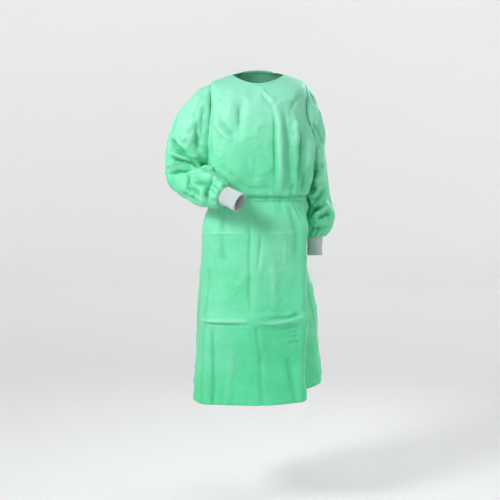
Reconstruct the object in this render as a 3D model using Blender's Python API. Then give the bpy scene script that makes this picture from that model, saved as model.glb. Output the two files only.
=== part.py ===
"""An isolation gown as it hangs on a standing wearer, with no wearer inside it.

The gown is cut from a front, two overlapping back panels and two long sleeves that are
gathered into knit cuffs. A bound neck edge closes with a tab behind, and a narrow tie
draws in the waist and is knotted behind. The right sleeve is bent across the front and
the left sleeve hangs at the side.

Frame: metres, +Z up. The front faces -Y, and the wearer's left is +X. The origin is
midway between the neck ends of the two shoulder seams, where the shoulders carry the
gown. Round the body, a place is given in turns: 0 at the centre front, 0.25 at the
wearer's left side, 0.5 at the centre back and -0.25 at the wearer's right side.
"""

import math

import bmesh
import bpy
import numpy as np

# Cloth walls and the gaps between pieces
CLOTH_WALL = 0.0015
KNIT_WALL = 0.0020
TIE_WALL = 0.0016
SEAM_GAP = 0.0004
LAYER_STEP = 0.0050  # how far the inner back panel lies inside the outer one

# Segments round the whole body and round a sleeve
BODY_SEGMENTS = 52
SLEEVE_SEGMENTS = 22

# The body, from the hem up. Heights are at the centre front, the side and the centre
# back; square makes a section boxier; rows is how many rows of faces lead to the next.
BODY_COLUMNS = (
    "front_z", "side_z", "back_z", "half_width", "front_depth", "back_depth", "square", "rows",
)
BODY_SECTIONS = {
    "hem": (-1.057, -1.064, -1.030, 0.212, 0.184, 0.166, 0.08, 2),
    "calf": (-0.925, -0.925, -0.915, 0.201, 0.177, 0.158, 0.07, 2),
    "knee_fold": (-0.786, -0.786, -0.780, 0.190, 0.168, 0.150, 0.06, 3),
    "thigh": (-0.620, -0.620, -0.620, 0.184, 0.153, 0.142, 0.05, 2),
    "hip": (-0.490, -0.490, -0.490, 0.178, 0.136, 0.128, 0.05, 2),
    "tie_low": (-0.407, -0.407, -0.407, 0.1570, 0.1125, 0.1005, 0.05, 1),
    "waist": (-0.400, -0.400, -0.400, 0.1555, 0.1110, 0.1000, 0.05, 1),
    "tie_high": (-0.393, -0.393, -0.393, 0.1565, 0.1130, 0.1010, 0.05, 1),
    "blouse": (-0.350, -0.350, -0.350, 0.166, 0.132, 0.115, 0.06, 2),
    "underarm": (-0.300, -0.300, -0.300, 0.164, 0.139, 0.119, 0.06, SLEEVE_SEGMENTS // 2),
    "shoulder": (-0.105, -0.029, -0.055, 0.153, 0.124, 0.104, 0.05, 2),
    "yoke": (-0.066, -0.013, -0.020, 0.123, 0.108, 0.084, 0.03, 1),
    "neck": (-0.035, -0.002, 0.010, 0.092, 0.089, 0.062, 0.00, 0),
}
LEVELS = {name: level for level, name in enumerate(BODY_SECTIONS)}
HEM_LEFT_LIFT = 0.036  # how much higher the hem hangs at the wearer's left side

# The armhole is an ellipse between these two levels, cut this far into each panel
ARMHOLE_CENTRE = (LEVELS["underarm"] + LEVELS["shoulder"]) / 2
ARMHOLE_HALF = (LEVELS["shoulder"] - LEVELS["underarm"]) / 2
ARMHOLE_TURNS = 0.058

# The back panels pass the centre back by so many of the body's segments, and the inner one
# steps in over so many turns before it
OVERLAP_COLUMNS = 5
OVERLAP_TURNS = OVERLAP_COLUMNS / BODY_SEGMENTS
STEP_TURNS = 0.040

# The largest folds: where round the body at mid height, how the fold leans in turns for
# each metre up, the heights it ends at and over how far it fades there, how far it stands
# out (or in, if negative), and its width in turns on the side of lower and higher turns.
FOLD_COLUMNS = ("turn", "lean", "low", "high", "fade", "depth", "before", "after")
FOLDS = {
    "left_side_notch": (0.206, 0.10, -1.40, -0.420, 0.12, -0.064, 0.046, 0.042),
    "left_arm_hollow": (0.275, 0.00, -0.720, -0.420, 0.12, -0.034, 0.060, 0.060),
    "left_back_flap": (0.325, 0.03, -1.40, -0.560, 0.25, 0.012, 0.026, 0.050),
    "left_front_edge": (0.118, 0.10, -1.40, -0.420, 0.10, 0.006, 0.018, 0.014),
    "right_front_edge": (-0.140, -0.05, -1.40, -0.600, 0.20, 0.006, 0.022, 0.022),
    "centre_fold": (0.000, 0.00, -1.40, -0.450, 0.20, 0.006, 0.030, 0.030),
    "left_bodice_flare": (0.190, 0.00, -0.405, -0.120, 0.09, 0.024, 0.040, 0.030),
    "bodice_fold_inner": (0.058, 0.00, -0.390, -0.100, 0.04, 0.006, 0.012, 0.012),
    "bodice_fold_middle": (0.112, 0.00, -0.390, -0.120, 0.04, 0.006, 0.014, 0.014),
    "bodice_fold_right": (-0.050, 0.04, -0.220, -0.070, 0.04, -0.006, 0.016, 0.016),
    "bodice_fold_side": (-0.150, -0.06, -0.400, -0.160, 0.06, 0.008, 0.022, 0.020),
    "back_fold_left": (0.410, 0.03, -1.40, -0.440, 0.20, 0.012, 0.022, 0.022),
    "back_fold_right": (-0.390, -0.03, -1.40, -0.440, 0.20, 0.014, 0.024, 0.024),
    "back_bodice_left": (0.360, -0.04, -0.390, -0.090, 0.06, 0.009, 0.022, 0.022),
    "back_bodice_right": (-0.370, 0.04, -0.390, -0.090, 0.06, 0.009, 0.022, 0.022),
}

# Gathers where the tie draws in the body
GATHERS = 26
GATHER_DEPTH = 0.0022
GATHER_REACH = 0.045

# The line pressed across the front when the gown was folded flat for packing
PRESSED_LINE_Z = -0.786
PRESSED_LINE_RISE = 0.004
PRESSED_LINE_REACH = 0.030
PRESSED_LINE_HALF_TURNS = 0.16

# A sleeve runs between two rails: the outer one over the shoulder, elbow and back of the
# forearm, and the inner one from the underarm along the crook of the elbow. half_depth is
# half the sleeve's size across them.
SLEEVE_COLUMNS = (
    "outer_x", "outer_y", "outer_z", "inner_x", "inner_y", "inner_z", "half_depth",
)
RIGHT_SLEEVE = {
    "armhole": (-0.153, 0.000, -0.029, -0.161, 0.000, -0.300, 0.055),
    "cap": (-0.195, 0.002, -0.056, -0.171, -0.002, -0.302, 0.072),
    "deltoid": (-0.239, 0.008, -0.098, -0.178, -0.008, -0.305, 0.076),
    "upper_arm": (-0.275, 0.014, -0.144, -0.180, -0.020, -0.308, 0.074),
    "mid_arm": (-0.295, 0.018, -0.210, -0.176, -0.037, -0.310, 0.068),
    "above_elbow": (-0.300, 0.012, -0.276, -0.168, -0.056, -0.312, 0.060),
    "elbow": (-0.300, -0.012, -0.338, -0.157, -0.079, -0.313, 0.056),
    "below_elbow": (-0.264, -0.060, -0.378, -0.144, -0.106, -0.316, 0.055),
    "forearm": (-0.222, -0.112, -0.404, -0.131, -0.136, -0.320, 0.052),
    "puff": (-0.180, -0.158, -0.418, -0.116, -0.166, -0.327, 0.047),
    "gather": (-0.140, -0.182, -0.417, -0.103, -0.196, -0.338, 0.038),
    "wrist": (-0.117, -0.194, -0.410, -0.097, -0.206, -0.352, 0.030),
}
LEFT_SLEEVE = {
    "armhole": (0.153, 0.000, -0.029, 0.161, 0.000, -0.300, 0.055),
    "cap": (0.172, 0.004, -0.052, 0.170, 0.006, -0.306, 0.066),
    "deltoid": (0.189, 0.012, -0.092, 0.177, 0.015, -0.315, 0.070),
    "upper_arm": (0.202, 0.022, -0.148, 0.180, 0.026, -0.327, 0.072),
    "mid_arm": (0.213, 0.030, -0.212, 0.180, 0.037, -0.342, 0.070),
    "above_elbow": (0.222, 0.036, -0.276, 0.176, 0.046, -0.361, 0.066),
    "elbow": (0.230, 0.040, -0.336, 0.165, 0.051, -0.388, 0.064),
    "below_elbow": (0.237, 0.040, -0.394, 0.161, 0.052, -0.420, 0.062),
    "forearm": (0.248, 0.036, -0.435, 0.164, 0.045, -0.454, 0.058),
    "puff": (0.255, 0.032, -0.466, 0.164, 0.038, -0.486, 0.054),
    "gather": (0.241, 0.030, -0.504, 0.162, 0.034, -0.518, 0.040),
    "wrist": (0.218, 0.030, -0.533, 0.160, 0.032, -0.538, 0.028),
}
# Near the armhole a sleeve still heads sideways, over this many rows of its table
RIGHT_TURN_ROWS = 3.0
LEFT_TURN_ROWS = 6.0
SIDEWAYS_PULL = 2.0
HEADING_PASSES = 4  # how often the sleeve's headings are evened out between rings
# Rows of the table over which a sleeve leaves the armhole's edge and turns into the cuff's
RIM_ROWS = 2.0
WRIST_ROWS = 1.2
# How far the sleeve stays from the body: at the armhole, and from so many rows on
ARMHOLE_CLEARANCE = 0.0018
SLEEVE_CLEARANCE = 0.0060
CLEARANCE_ROWS = 1.5
SLEEVE_ROWS_PER_SPAN = (2, 2, 1, 2, 1, 2, 2, 2, 2, 2, 1)
SLEEVE_GATHERS = SLEEVE_SEGMENTS // 2
SLEEVE_GATHER_DEPTH = 0.0040
GATHER_START_ROWS = 3.0  # how far before the cuff's seam the gathers start
GATHER_GROW_ROWS = 2.2
GATHER_PRESSED = 0.6  # how much of their depth the cuff's seam takes away

# Creases across the bent elbow: place along the sleeve in rows of the table, angle round
# it in degrees (0 outside, 90 in front, 180 inside), depth, and half widths of each
CREASE_COLUMNS = ("along", "angle", "depth", "half_along", "half_angle")
RIGHT_SLEEVE_CREASES = {
    "upper": (4.0, 120.0, -0.006, 0.70, 50.0),
    "ridge": (5.0, 110.0, 0.004, 0.60, 45.0),
    "elbow": (6.2, 130.0, -0.006, 0.70, 50.0),
    "lower": (7.6, 100.0, -0.005, 0.70, 45.0),
}
LEFT_SLEEVE_CREASES = {
    "upper": (4.5, 60.0, -0.004, 0.70, 50.0),
    "elbow": (6.0, 50.0, -0.005, 0.70, 50.0),
    "lower": (7.6, 40.0, -0.005, 0.70, 45.0),
}

# Knit cuffs: distance along the wrist and radius at the seam, the waist of the cuff and
# its free edge, and the raised ribs of the knit
CUFF_PROFILE = ((0.0, 0.0318), (0.026, 0.0300), (0.060, 0.0315))
CUFF_RIBS = 24
CUFF_RIB_RISE = 0.0007
RIGHT_CUFF_AIM = (0.80, -0.45, -0.36)
LEFT_CUFF_AIM = (0.00, -0.08, -1.00)

# Neck binding, closing tab over the outer panel's edge, and the knot and free ends of the
# waist tie
BINDING_RISE = 0.007
BINDING_WALL = 0.0024
TAB_TURNS = (0.372, 0.442)
TAB_LEVELS = (LEVELS["yoke"] + 0.35, LEVELS["yoke"] + 0.90)
TAB_WALL = 0.0012
KNOT_HALF_SIZE = (0.017, 0.008, 0.013)
KNOT_PINCH = 0.22
TIE_END_WIDTH = 0.013
TIE_END_LIFT = 0.0045
TIE_END_KNOT_LIFT = 0.0068  # under the knot, so that the ends come out of its middle
TIE_END_KNOT_REACH = 0.030
TIE_END_DROP = 0.0142  # from the waist to the top of an end
TIE_END_ROWS = 12
# Each free end's turn at the knot, its lean in turns a metre, and its lowest height
TIE_ENDS = {"left": (0.491, -0.075, -0.66), "right": (0.510, 0.060, -0.72)}

# Places at which the body's levels are looked up by height, and how the turn of a point
# beside the body is closed in on
LOOKUP_PLACES = 500
TURN_PASSES = 8
TURN_SHARE = 0.7

# Linear colours and finishes: base colour, roughness
FINISHES = {
    "green_nonwoven": ((0.18, 0.78, 0.45, 1.0), 0.55),
    "white_knit": ((0.84, 0.84, 0.81, 1.0), 0.90),
}


def column(name):
    """One column of the body's table, from the hem up."""
    place = BODY_COLUMNS.index(name)
    return [row[place] for row in BODY_SECTIONS.values()]


def section_value(section, name):
    """One size of one of the body's sections."""
    return BODY_SECTIONS[section][BODY_COLUMNS.index(name)]


def smooth(rows, at):
    """Monotone cubic through equally spaced rows, at each place in at, with no overshoot."""
    rows = np.asarray(rows, float)
    at = np.clip(np.asarray(at, float), 0, len(rows) - 1)
    steps = np.diff(rows, axis=0)
    before, after = steps[:-1], steps[1:]
    same_way = before * after > 0
    total = np.where(same_way, before + after, 1.0)
    slopes = np.zeros_like(rows)
    slopes[1:-1] = np.where(same_way, 2 * before * after / total, 0.0)
    slopes[0], slopes[-1] = steps[0], steps[-1]
    low = np.minimum(at.astype(int), len(rows) - 2)
    t = at - low
    if rows.ndim > 1:
        t = t[..., None]
    return (
        rows[low] * (1 + 2 * t) * (1 - t) ** 2
        + slopes[low] * t * (1 - t) ** 2
        + rows[low + 1] * t**2 * (3 - 2 * t)
        + slopes[low + 1] * t**2 * (t - 1)
    )


def smoothstep(value):
    """0 below 0, 1 above 1, with an even ease between."""
    value = np.clip(value, 0, 1)
    return value * value * (3 - 2 * value)


def bell(distance):
    """A soft bump: 1 at no distance, and nearly 0 from a distance of 2."""
    return np.exp(-(distance**2))


def turn_difference(turn, other):
    """The shorter way round from other to turn, in turns."""
    return (turn - other + 0.5) % 1.0 - 0.5


def body_offset(turn, z):
    """How far folds, gathers and the pressed line move the body's surface out at a place."""
    offset = np.zeros(np.broadcast(turn, z).shape)
    for row in FOLDS.values():
        fold = dict(zip(FOLD_COLUMNS, row))
        middle = (max(fold["low"], section_value("hem", "front_z")) + fold["high"]) / 2
        away = turn_difference(turn, fold["turn"] + fold["lean"] * (z - middle))
        across = bell(away / np.where(away < 0, fold["before"], fold["after"]))
        fade = smoothstep((z - fold["low"]) / fold["fade"])
        fade = fade * smoothstep((fold["high"] - z) / fold["fade"])
        offset = offset + fold["depth"] * across * fade
    waist_z = section_value("waist", "front_z")
    gathers = np.cos(2 * math.pi * GATHERS * turn) * bell((z - waist_z) / GATHER_REACH)
    offset = offset + GATHER_DEPTH * gathers
    on_front = smoothstep((PRESSED_LINE_HALF_TURNS - np.abs(turn_difference(turn, 0.0))) / 0.03)
    ridge = np.clip(1 - np.abs(z - PRESSED_LINE_Z) / PRESSED_LINE_REACH, 0, 1)
    return offset + PRESSED_LINE_RISE * ridge * on_front


def body(turn, level):
    """Points of the gown's outer surface, at places in turns round it and levels up it."""
    turn, level = np.broadcast_arrays(np.asarray(turn, float), np.asarray(level, float))
    sections = smooth(list(BODY_SECTIONS.values()), level)
    size = dict(zip(BODY_COLUMNS, np.moveaxis(sections, -1, 0)))
    square = size["square"]
    angle = 2 * math.pi * turn
    sine, cosine = np.sin(angle), np.cos(angle)
    across = (sine + square * np.sin(3 * angle)) / (1 - square)
    along = (cosine - square * np.cos(3 * angle)) / (1 - square)
    depth = np.where(cosine > 0, size["front_depth"], size["back_depth"])
    end_z = np.where(cosine > 0, size["front_z"], size["back_z"])
    x = size["half_width"] * across
    y = -depth * along
    z = size["side_z"] + (end_z - size["side_z"]) * cosine**2
    z = z + HEM_LEFT_LIFT * np.clip(sine, 0, 1) ** 2 * np.clip(1 - level, 0, 1)
    tangent_x = size["half_width"] * (cosine + 3 * square * np.cos(3 * angle))
    tangent_y = depth * (sine - 3 * square * np.sin(3 * angle))
    length = np.hypot(tangent_x, tangent_y)
    offset = body_offset(turn, z)
    x = x + offset * tangent_y / length
    y = y - offset * tangent_x / length
    return np.stack([x, y, z], axis=-1)


def body_normals(turn, level, step=1e-4):
    """Unit normals of the body's surface, the same for every panel that meets at a place."""
    top = len(BODY_SECTIONS) - 1
    around = body(turn + step, level) - body(turn - step, level)
    upward = body(turn, np.minimum(level + step, top)) - body(turn, np.maximum(level - step, 0))
    normals = np.cross(around, upward)
    return normals / np.linalg.norm(normals, axis=-1, keepdims=True)


def seam_turns(level, side=0.25):
    """Half a seam's gap at the side of the body, in turns."""
    step = 1e-4
    speed = np.linalg.norm(body(side + step, level) - body(side - step, level), axis=-1) / (2 * step)
    return SEAM_GAP / 2 / speed


def body_levels():
    """The levels of the rows of faces, closer near the ends of the armhole."""
    levels = []
    for start, count in enumerate(column("rows")):
        share = np.arange(count) / max(count, 1)
        if start == LEVELS["underarm"]:
            share = (1 - np.cos(math.pi * share)) / 2
        levels.extend(start + share)
    levels.append(len(BODY_SECTIONS) - 1)
    return np.array(levels)


def armhole_cut(level):
    """How many turns the armhole reaches into a panel at a level."""
    height = (level - ARMHOLE_CENTRE) / ARMHOLE_HALF
    return ARMHOLE_TURNS * np.sqrt(np.clip(1 - height**2, 0, None))


def material(finish):
    """The Principled material of that name, made once."""
    made = bpy.data.materials.get(finish)
    if made is None:
        colour, roughness = FINISHES[finish]
        made = bpy.data.materials.new(finish)
        made.use_nodes = True
        shader = made.node_tree.nodes["Principled BSDF"]
        shader.inputs["Base Color"].default_value = colour
        shader.inputs["Roughness"].default_value = roughness
        shader.inputs["Metallic"].default_value = 0.0
        made.diffuse_color = colour
    return made


def add_object(name, bm, finish):
    """The bmesh as a smooth-shaded object."""
    mesh = bpy.data.meshes.new(name)
    bm.to_mesh(mesh)
    bm.free()
    mesh.materials.append(material(finish))
    mesh.shade_smooth()
    obj = bpy.data.objects.new(name, mesh)
    bpy.context.scene.collection.objects.link(obj)
    return obj


def cloth(name, outer, normals, wall, finish="green_nonwoven", around=False):
    """A closed wall between rows of outer points and the same points moved in by the wall."""
    bm = bmesh.new()
    outside = [[bm.verts.new(point) for point in row] for row in outer]
    inside = [[bm.verts.new(point) for point in row] for row in outer - wall * normals]
    row_count, columns = len(outer), len(outer[0])
    for i in range(row_count - 1):
        for j in range(columns if around else columns - 1):
            k = (j + 1) % columns
            corners = ((i, j), (i, k), (i + 1, k), (i + 1, j))
            first = np.linalg.norm(outer[i][j] - outer[i + 1][k])
            second = np.linalg.norm(outer[i][k] - outer[i + 1][j])
            order = (0, 1, 2, 3) if first < second else (1, 2, 3, 0)
            a, b, c, d = (corners[place] for place in order)
            for one, two, three in ((a, b, c), (a, c, d)):
                bm.faces.new([outside[r][s] for r, s in (one, two, three)])
                bm.faces.new([inside[r][s] for r, s in (three, two, one)])
    for j in range(columns if around else columns - 1):
        k = (j + 1) % columns
        bm.faces.new((outside[0][k], outside[0][j], inside[0][j], inside[0][k]))
        bm.faces.new((outside[-1][j], outside[-1][k], inside[-1][k], inside[-1][j]))
    if not around:
        for i in range(row_count - 1):
            bm.faces.new((outside[i][0], outside[i + 1][0], inside[i + 1][0], inside[i][0]))
            bm.faces.new((outside[i + 1][-1], outside[i][-1], inside[i][-1], inside[i + 1][-1]))
    return add_object(name, bm, finish)


def front_panel():
    """The front, from side seam to side seam, with half of each armhole and shoulder seam."""
    levels = body_levels()[:, None]
    share = np.linspace(-1, 1, BODY_SEGMENTS // 2 + 1)[None, :]
    turns = share * (0.25 - armhole_cut(levels) - seam_turns(levels))
    return cloth("front_panel", body(turns, levels), body_normals(turns, levels), CLOTH_WALL)


def inner_layer(points, normals, away):
    """Steps the inner back panel in before it passes under the outer one."""
    stepped = smoothstep((away - (0.5 - OVERLAP_TURNS - STEP_TURNS)) / STEP_TURNS)
    return points - LAYER_STEP * stepped[..., None] * normals


def back_panel(name, side, inner):
    """A back panel, from its side seam past the centre back. side is 1 for the wearer's left."""
    levels = body_levels()[:, None]
    columns = BODY_SEGMENTS // 4 + OVERLAP_COLUMNS + 1
    share = np.linspace(0, 1, columns)[None, :]
    start = 0.25 + armhole_cut(levels) + seam_turns(levels)
    away = start + share * (0.5 + OVERLAP_TURNS - start)
    points, normals = body(side * away, levels), body_normals(side * away, levels)
    if inner:
        points = inner_layer(points, normals, away)
    if side < 0:
        points, normals = points[:, ::-1], normals[:, ::-1]
    return cloth(name, points, normals, CLOTH_WALL)


def armhole_rim(side, angle):
    """Points of the body along the armhole's edge, down its front and up its back."""
    level = ARMHOLE_CENTRE + ARMHOLE_HALF * np.cos(angle)
    turn = side * (0.25 - ARMHOLE_TURNS * np.sin(angle))
    points, normals = body(turn, level), body_normals(turn, level)
    inward = points.mean(axis=0) - points
    inward -= normals * (inward * normals).sum(axis=-1, keepdims=True)
    inward /= np.linalg.norm(inward, axis=-1, keepdims=True)
    return points + inward * SEAM_GAP


def sleeve_places():
    """Places along the sleeve's table where rings of points lie."""
    places = [
        start + k / count for start, count in enumerate(SLEEVE_ROWS_PER_SPAN) for k in range(count)
    ]
    return np.array([*places, len(SLEEVE_ROWS_PER_SPAN)], float)


def sleeve_frame(table, side, places):
    """Centre, half vector to the outer rail, front direction and half depth of each ring."""
    size = dict(zip(SLEEVE_COLUMNS, smooth(list(table.values()), places).T))
    outer = np.stack([size["outer_x"], size["outer_y"], size["outer_z"]], axis=-1)
    inner = np.stack([size["inner_x"], size["inner_y"], size["inner_z"]], axis=-1)
    centre = (outer + inner) / 2
    ahead = np.gradient(centre, axis=0)
    ahead /= np.linalg.norm(ahead, axis=-1, keepdims=True)
    sideways = 1 - smoothstep(places / (LEFT_TURN_ROWS if side > 0 else RIGHT_TURN_ROWS))
    ahead[:, 0] += side * sideways * SIDEWAYS_PULL
    for _ in range(HEADING_PASSES):
        ahead[1:-1] = (ahead[:-2] + 2 * ahead[1:-1] + ahead[2:]) / 4
    half = (outer - inner) / 2
    front = side * np.cross(ahead, half)
    front /= np.linalg.norm(front, axis=-1, keepdims=True)
    return centre, half, front, size["half_depth"]


def sleeve_offset(creases, place, angle):
    """How far creases and the gathers above the cuff move the sleeve's surface out."""
    offset = np.zeros(np.broadcast(place, angle).shape)
    for row in creases.values():
        crease = dict(zip(CREASE_COLUMNS, row))
        turned = turn_difference(angle / (2 * math.pi), crease["angle"] / 360) * 360
        along = bell((place - crease["along"]) / crease["half_along"])
        offset = offset + crease["depth"] * along * bell(turned / crease["half_angle"])
    before_seam = len(SLEEVE_ROWS_PER_SPAN) - place
    grow = smoothstep((GATHER_START_ROWS - before_seam) / GATHER_GROW_ROWS)
    pressed = 1 - GATHER_PRESSED * smoothstep(1 - before_seam)
    return offset + SLEEVE_GATHER_DEPTH * np.cos(SLEEVE_GATHERS * angle) * grow * pressed


def wrist_spokes(aim, towards, side, angle):
    """Unit vectors round the wrist's axis, which start in the plane of the given direction."""
    axis = np.array(aim) / np.linalg.norm(aim)
    start = towards - axis * (towards @ axis)
    start /= np.linalg.norm(start)
    front = side * np.cross(axis, start)
    return axis, start * np.cos(angle)[:, None] + front * np.sin(angle)[:, None]


def sleeve_rings(table, creases, aim, side):
    """Rings of points and normals, from the armhole's edge to the cuff's seam."""
    places = sleeve_places()
    centre, half, front, half_depth = sleeve_frame(table, side, places)
    angle = np.arange(SLEEVE_SEGMENTS) * 2 * math.pi / SLEEVE_SEGMENTS
    rim = armhole_rim(side, angle)
    _, spokes = wrist_spokes(aim, half[-1], side, angle)
    arms = (
        half[:, None, :] * np.cos(angle)[None, :, None]
        + (front * half_depth[:, None])[:, None, :] * np.sin(angle)[None, :, None]
    )
    from_rim = (1 - smoothstep(places / RIM_ROWS))[:, None, None]
    to_wrist = smoothstep((places - places[-1] + WRIST_ROWS) / WRIST_ROWS)[:, None, None]
    arms = arms + from_rim * (rim - centre[0] - arms[0])[None]
    arms = (1 - to_wrist) * arms + to_wrist * (spokes * CUFF_PROFILE[0][1])[None]
    length = np.linalg.norm(arms, axis=-1, keepdims=True)
    arms *= 1 + sleeve_offset(creases, places[:, None], angle[None, :])[..., None] / length
    rings = centre[:, None, :] + arms
    clearance = np.interp(
        smoothstep(places / CLEARANCE_ROWS), (0, 1), (ARMHOLE_CLEARANCE, SLEEVE_CLEARANCE)
    )
    rings[1:-1] = clear_of_body(rings[1:-1], clearance[1:-1, None])
    along = np.gradient(rings, axis=0)
    around = np.roll(rings, -1, axis=1) - np.roll(rings, 1, axis=1)
    normals = side * np.cross(around, along)
    normals /= np.linalg.norm(normals, axis=-1, keepdims=True)
    normals[-1] = spokes
    return rings, normals


def clear_of_body(points, clearance):
    """The points, with those inside the body or close to it moved straight out of it."""
    levels = np.linspace(0, LEVELS["neck"], LOOKUP_PLACES)
    heights = smooth(column("side_z"), levels)
    level = np.interp(points[..., 2], heights, levels)
    polar = np.arctan2(points[..., 0], -points[..., 1]) / (2 * math.pi)
    turn = polar
    for _ in range(TURN_PASSES):
        surface = body(turn, level)
        reached = np.arctan2(surface[..., 0], -surface[..., 1]) / (2 * math.pi)
        turn = turn + TURN_SHARE * turn_difference(polar, reached)
    surface = body(turn, level)
    reach = np.hypot(surface[..., 0], surface[..., 1]) + clearance
    radius = np.hypot(points[..., 0], points[..., 1])
    moved = points.copy()
    moved[..., :2] *= np.maximum(reach / radius, 1)[..., None]
    above = points[..., 2] > section_value("shoulder", "side_z")
    return np.where(above[..., None], points, moved)


def sleeve(name, table, creases, aim, side):
    """A sleeve from its armhole to its cuff, kept clear of the body below the shoulder."""
    rings, normals = sleeve_rings(table, creases, aim, side)
    if side < 0:
        rings, normals = rings[:, ::-1], normals[:, ::-1]
    return cloth(name, rings, normals, CLOTH_WALL, around=True)


def cuff(name, table, aim, side):
    """A knit tube that starts at the sleeve's last ring and runs along the wrist."""
    centre, half, _, _ = sleeve_frame(table, side, sleeve_places())
    angle = np.arange(2 * CUFF_RIBS) * math.pi / CUFF_RIBS
    axis, spokes = wrist_spokes(aim, half[-1], side, angle)
    rib = CUFF_RIB_RISE * np.cos(CUFF_RIBS * angle)
    start = centre[-1] + axis * SEAM_GAP
    rings = [
        start + axis * along + spokes * (radius + rib)[:, None] for along, radius in CUFF_PROFILE
    ]
    rings, normals = np.array(rings), np.repeat(spokes[None], len(CUFF_PROFILE), axis=0)
    if side < 0:
        rings, normals = rings[:, ::-1], normals[:, ::-1]
    return cloth(name, rings, normals, KNIT_WALL, "white_knit", around=True)


def neck_binding():
    """A strip that stands on the neck edge, from the outer back panel round to the inner one."""
    columns = BODY_SEGMENTS + 2 * OVERLAP_COLUMNS + 1
    turns = np.linspace(-0.5 - OVERLAP_TURNS, 0.5 + OVERLAP_TURNS, columns)
    levels = np.full_like(turns, float(LEVELS["neck"]))
    edge, normals = body(turns, levels), body_normals(turns, levels)
    upward = edge - body(turns, levels - 0.02)
    upward /= np.linalg.norm(upward, axis=-1, keepdims=True)
    foot = inner_layer(edge, normals, turns) + normals * (BINDING_WALL - CLOTH_WALL) / 2
    rows = np.array([foot + upward * (SEAM_GAP + rise) for rise in (0.0, BINDING_RISE)])
    return cloth("neck_binding", rows, np.repeat(normals[None], 2, axis=0), BINDING_WALL)


def laid_on_body(turns, levels, lift):
    """Points and normals of what lies on the body, its outer face this far out."""
    normals = body_normals(turns, levels)
    return body(turns, levels) + lift * normals, normals


def closing_tab():
    """A tab on the outer back panel just under the neck edge, holding the overlap shut."""
    turns = np.linspace(*TAB_TURNS, 4)[None, :]
    levels = np.linspace(*TAB_LEVELS, 3)[:, None]
    return cloth("neck_tab", *laid_on_body(turns, levels, SEAM_GAP + TAB_WALL), TAB_WALL)


def waist_tie():
    """The tie's loop round the waist, made from the body's points moved out."""
    turns = np.arange(BODY_SEGMENTS)[None, :] / BODY_SEGMENTS
    levels = np.arange(LEVELS["tie_low"], LEVELS["tie_high"] + 1, dtype=float)[:, None]
    points, normals = laid_on_body(turns, levels, SEAM_GAP + TIE_WALL)
    return cloth("waist_tie", points, normals, TIE_WALL, around=True)


def waist_knot():
    """The knot behind, a flattened ball pinched in at its middle."""
    back = body(0.5, float(LEVELS["waist"]))
    half_x, half_y, half_z = KNOT_HALF_SIZE
    clear = 2 * SEAM_GAP + TIE_WALL + half_y * (1 - KNOT_PINCH)
    bm = bmesh.new()
    bmesh.ops.create_uvsphere(bm, u_segments=14, v_segments=8, radius=1.0)
    for vert in bm.verts:
        pinch = 1 - KNOT_PINCH * math.exp(-((vert.co.x / 0.35) ** 2))
        vert.co.x = vert.co.x * half_x + float(back[0])
        vert.co.y = vert.co.y * half_y * pinch + float(back[1]) + clear
        vert.co.z = vert.co.z * half_z * pinch + float(back[2])
    return add_object("waist_knot", bm, "green_nonwoven")


def tie_end(name, turn, lean, lowest):
    """A free end of the tie, hanging from under the knot down the back panel."""
    dense = np.linspace(0, LEVELS["waist"], LOOKUP_PLACES)
    dense_z = body(0.5, dense)[:, 2]
    top = dense_z[-1] - TIE_END_DROP
    heights = np.linspace(lowest, top, TIE_END_ROWS)
    levels = np.interp(heights, dense_z, dense)
    middle = turn + lean * (top - heights)
    step = 1e-3
    ring = np.linalg.norm(body(middle + step, levels) - body(middle - step, levels), axis=-1)
    half_turns = TIE_END_WIDTH / 2 * 2 * step / ring
    turns = middle[:, None] + np.array([-1, 1])[None, :] * half_turns[:, None]
    near_knot = smoothstep((heights - top) / TIE_END_KNOT_REACH + 1)
    lift = TIE_END_LIFT + (TIE_END_KNOT_LIFT - TIE_END_LIFT) * near_knot + TIE_WALL
    points, normals = laid_on_body(turns, levels[:, None], lift[:, None, None])
    return cloth(name, points, normals, TIE_WALL)


def main():
    """Clears the scene and makes every piece of the gown."""
    for obj in list(bpy.data.objects):
        bpy.data.objects.remove(obj)
    front_panel()
    back_panel("back_panel_left", 1, inner=True)
    back_panel("back_panel_right", -1, inner=False)
    sleeve("sleeve_right", RIGHT_SLEEVE, RIGHT_SLEEVE_CREASES, RIGHT_CUFF_AIM, -1)
    sleeve("sleeve_left", LEFT_SLEEVE, LEFT_SLEEVE_CREASES, LEFT_CUFF_AIM, 1)
    cuff("cuff_right", RIGHT_SLEEVE, RIGHT_CUFF_AIM, -1)
    cuff("cuff_left", LEFT_SLEEVE, LEFT_CUFF_AIM, 1)
    neck_binding()
    closing_tab()
    waist_tie()
    waist_knot()
    for label, (turn, lean, lowest) in TIE_ENDS.items():
        tie_end(f"tie_end_{label}", turn, lean, lowest)


main()
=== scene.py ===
"""The looks of an isolation gown, worn form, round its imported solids.

Each cloth piece is a thin shell on its solid's form, made from the same named sizes, with the
creases that worn and once folded cloth shows: soft folds, pressed lines from packing, wrinkles
at the bent elbow, and gathers at the waist and wrists. The gown is a coated green non-woven
with white rib knit cuffs.

Frame: metres, +Z up, front to -Y, the wearer's left to +X, origin between the neck ends of the
shoulder seams. Round the body a place is given in turns: 0 at the centre front, 0.25 at the
wearer's left side, 0.5 at the centre back, -0.25 at the wearer's right side.
"""

import itertools
import math

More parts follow.
